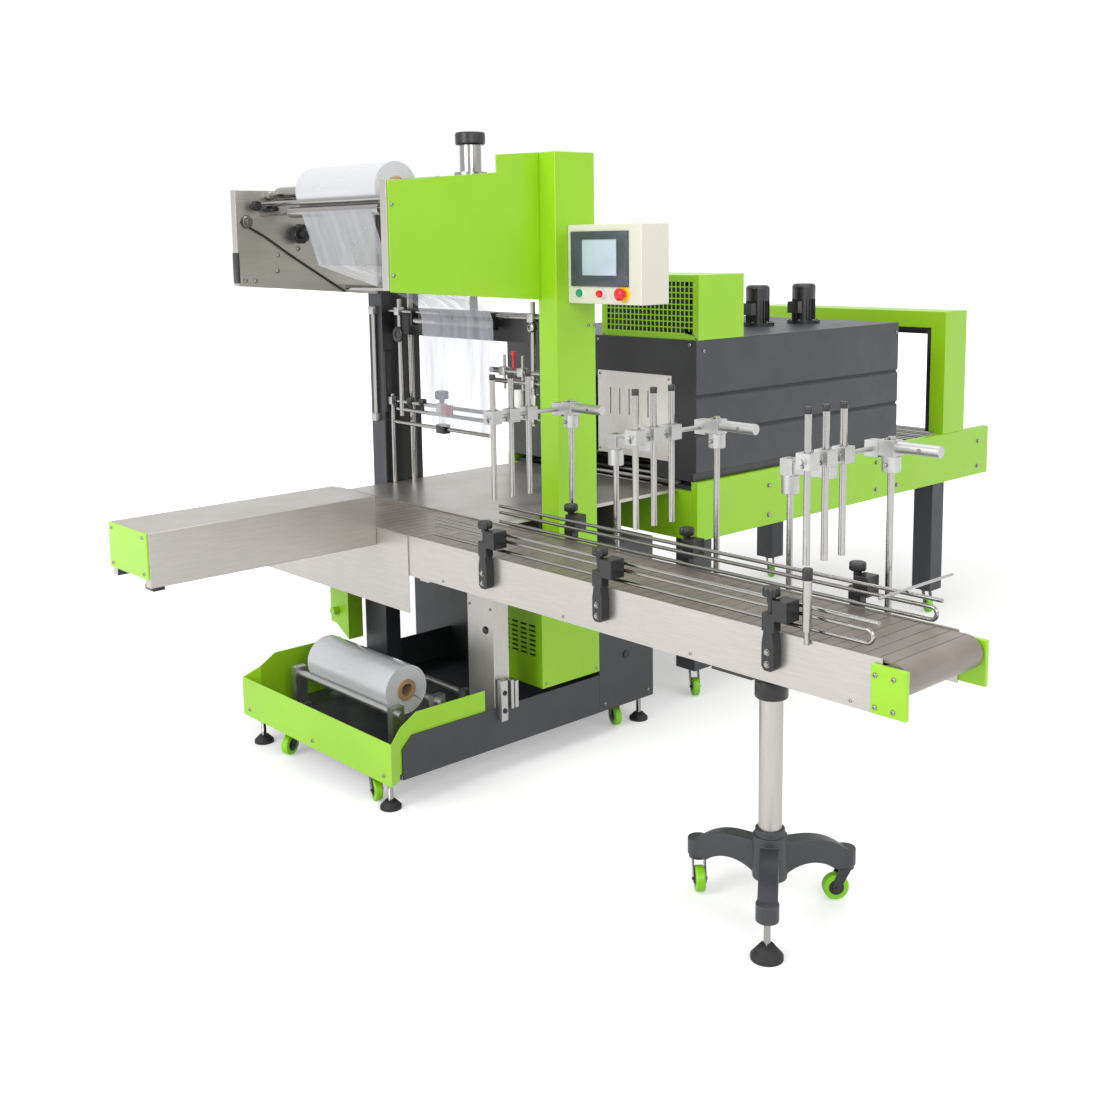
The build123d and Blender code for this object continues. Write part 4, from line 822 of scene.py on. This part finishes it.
def unwinder_bolts():
    bosses = Kit()
    bosses.turned((-1195, PLATE_Y, 1700), NEAR, [(0, 0), (22, 0), (22, 3), (19, 12), (17, 14), (10, 14),
                  (10, 20, "hex"), (8, 22, "hex"), (0, 22)], 36)
    bosses.turned((-1111, PLATE_Y, 1784), NEAR, [(0, 0), (14, 0), (14, 26), (12, 28), (0, 28)], 32)
    for x, z in ((-1080, 1590), (-1084, 1537), (-1206, 1508), (-1169, 1507), (-1000, 1610)):
        bosses.screw((x, PLATE_Y, z), NEAR, 8)
    bosses.done("unwinder_bolts", bolt_steel)


def post_collar():
    """Ring on the stand's post, under the conveyor."""
    collar = Kit()
    ring = [(29, 0), (38, 0), (40, 3), (40, 40), (38, 44), (29, 44), (29, 0)]
    collar.turned((-1013, -825, 548), UP, ring, 48)
    collar.done("post_collar", black_plastic)


def valves():
    """Valve blocks on the near side of the bed, with two ports."""
    blocks = Kit()
    for x0, x1, z0, z1 in ((-941, -915, 172, 300), (-902, -890, 205, 296), (-886, -872, 205, 290)):
        blocks.box(x0, x1, 262, NEAR_FACE_Y, z0, z1, 1.5)
    blocks.done("valve_blocks", satin_aluminium)
    ports = Kit()
    for z in (205, 262):
        ports.turned((-928, 262, z), NEAR, [(0, 0), (8, 0), (8, 3), (6, 4), (3, 4), (3, 1), (0, 1)], 24)
    ports.done("valve_ports", black_plastic)


portal_rods()
portal_clamps()
portal_blocks()
portal_rollers()
portal_stops()
unwinder_knobs()
unwinder_bolts()
post_collar()
valves()

# Film web: one clear sheet from the guide roller, under the bottom bar and down in soft folds
FILM_Y0 = 567
FILM_Y1 = 950
FILM_STEP = 12
FILM_COLUMNS = 110
FILM_BAR_Z = 1440
FOLD_DROP = 330
SLACK_LENGTH = 480
PULL_IN = 0.10
guide_x, guide_z = GUIDE_ROLLER
guide_reach = 18
web_line = [(guide_x - guide_reach, guide_z), (guide_x - 0.8 * guide_reach, guide_z - 0.7 * guide_reach),
            (-1094, 1557), (-812, 1461), (-740, 1434), (-706, 1408), (-692, 1372), (-690, 1300), (-690, 1002)]


def along(points, step):
    """The points of a line, a step apart."""
    made = []
    for (x0, z0), (x1, z1) in zip(points, points[1:]):
        count = max(1, round(math.hypot(x1 - x0, z1 - z0) / step))
        made += [(x0 + (x1 - x0) * i / count, z0 + (z1 - z0) * i / count) for i in range(count)]
    return made + [points[-1]]


def fold_height(v, hang):
    """The waves across the film at v, from 0 to 1 across its width. They shift as it hangs."""
    fold = math.sin(31 * v + 1.5 * math.sin(5 * v)) + 0.6 * math.sin(57 * v + 2.2 * hang + 1)
    return fold + 0.5 * math.sin(13 * v - 3 * hang)


def film_sheet():
    """The sheet's rows follow web_line. It is flat at the rollers, and folds and narrows as it hangs."""
    line = along(web_line, FILM_STEP)
    length = 0.0
    bm = bmesh.new()
    grid = []
    for k, (x, z) in enumerate(line):
        if k:
            length += math.hypot(x - line[k - 1][0], z - line[k - 1][1])
        hang = max(0.0, min(1.0, (FILM_BAR_Z - z) / FOLD_DROP))
        slack = 0.25 * math.sin(math.pi * min(1.0, length / SLACK_LENGTH)) if z > FILM_BAR_Z else 0
        pull = PULL_IN * hang * hang
        row = []
        for i in range(FILM_COLUMNS + 1):
            v = i / FILM_COLUMNS
            y = FILM_Y0 + (FILM_Y1 - FILM_Y0) * (v * (1 - pull) + pull * 0.35)
            fold = fold_height(v, hang)
            out = (3.2 * hang + 1.2 * slack) * fold
            row.append(bm.verts.new(((x + out) * MM, y * MM, (z + 0.3 * slack * fold) * MM)))
        grid.append(row)
    for low, high in zip(grid, grid[1:]):
        for i in range(FILM_COLUMNS):
            bm.faces.new((low[i], low[i + 1], high[i + 1], high[i]))
    web = shown("film_curtain", bm, "frame", [film_clear])
    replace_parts(web, "film_web")


film_sheet()


# Stage
def background_rays(tree):
    """1 for what the camera, a mirror or glass sees, and 0 for light that falls on the object."""
    rays = tree.nodes.new("ShaderNodeLightPath")
    level = rays.outputs["Is Camera Ray"]
    for name in ("Is Glossy Ray", "Is Transmission Ray"):
        either = tree.nodes.new("ShaderNodeMath")
        either.operation = "MAXIMUM"
        tree.links.new(level, either.inputs[0])
        tree.links.new(rays.outputs[name], either.inputs[1])
        level = either.outputs["Value"]
    return level


def studio_floor(reach=40):
    """A pale floor that takes the shadow, and turns white away from the object."""
    mesh = bpy.data.meshes.new("floor")
    mesh.from_pydata([(-reach, -reach, 0), (reach, -reach, 0), (reach, reach, 0), (-reach, reach, 0)], [],
                     [(0, 1, 2, 3)])
    floor = bpy.data.objects.new("floor", mesh)
    bpy.context.scene.collection.objects.link(floor)
    shade = Shade("floor_white", (0.80, 0.80, 0.80, 1), 0.7)
    mesh.materials.append(shade.material)
    place = shade.node("ShaderNodeTexCoord")
    apart = shade.node("ShaderNodeVectorMath", operation="LENGTH")
    shade.link(place.outputs["Object"], apart.inputs[0])
    far = shade.spread(apart.outputs["Value"], 0.34, 1.1, 2.6, 6.0)
    glow = shade.node("ShaderNodeMath", operation="MULTIPLY")
    shade.link(background_rays(shade.tree), glow.inputs[0])
    shade.link(far, glow.inputs[1])
    shade.shader.inputs["Emission Color"].default_value = (1, 1, 1, 1)
    shade.shader.inputs["Specular IOR Level"].default_value = 0
    shade.feed("Emission Strength", glow.outputs["Value"])


def studio_world(light=0.55):
    """White for what the camera sees and metal mirrors, softer as a light."""
    world = bpy.data.worlds.new("studio")
    bpy.context.scene.world = world
    world.use_nodes = True
    tree = world.node_tree
    background = tree.nodes["Background"]
    background.inputs["Color"].default_value = (1, 1, 1, 1)
    mix = tree.nodes.new("ShaderNodeMapRange")
    mix.inputs["To Min"].default_value = light
    mix.inputs["To Max"].default_value = 1.0
    tree.links.new(background_rays(tree), mix.inputs["Value"])
    tree.links.new(mix.outputs["Result"], background.inputs["Strength"])


def add_lamp(name, place, target, size, power):
    data = bpy.data.lights.new(name, "AREA")
    data.shape = "RECTANGLE"
    data.size, data.size_y = size
    data.energy = power
    lamp = bpy.data.objects.new(name, data)
    lamp.location = place
    lamp.rotation_euler = (Vector(target) - Vector(place)).to_track_quat("-Z", "Y").to_euler()
    bpy.context.scene.collection.objects.link(lamp)


studio_floor()
studio_world()
add_lamp("key", (0.8, -6.0, 4.2), (-0.2, 0, 0.8), (3.5, 3), 70)
add_lamp("fill", (-6.0, 0.5, 3.2), (-0.5, 0.3, 0.8), (3, 3), 170)
add_lamp("top", (0.2, 0.2, 5.5), (0, 0, 0.5), (5, 4), 110)
add_lamp("front", (-3.4, -4.6, 3.2), (-0.9, 0.3, 1.5), (2.5, 2.5), 100)
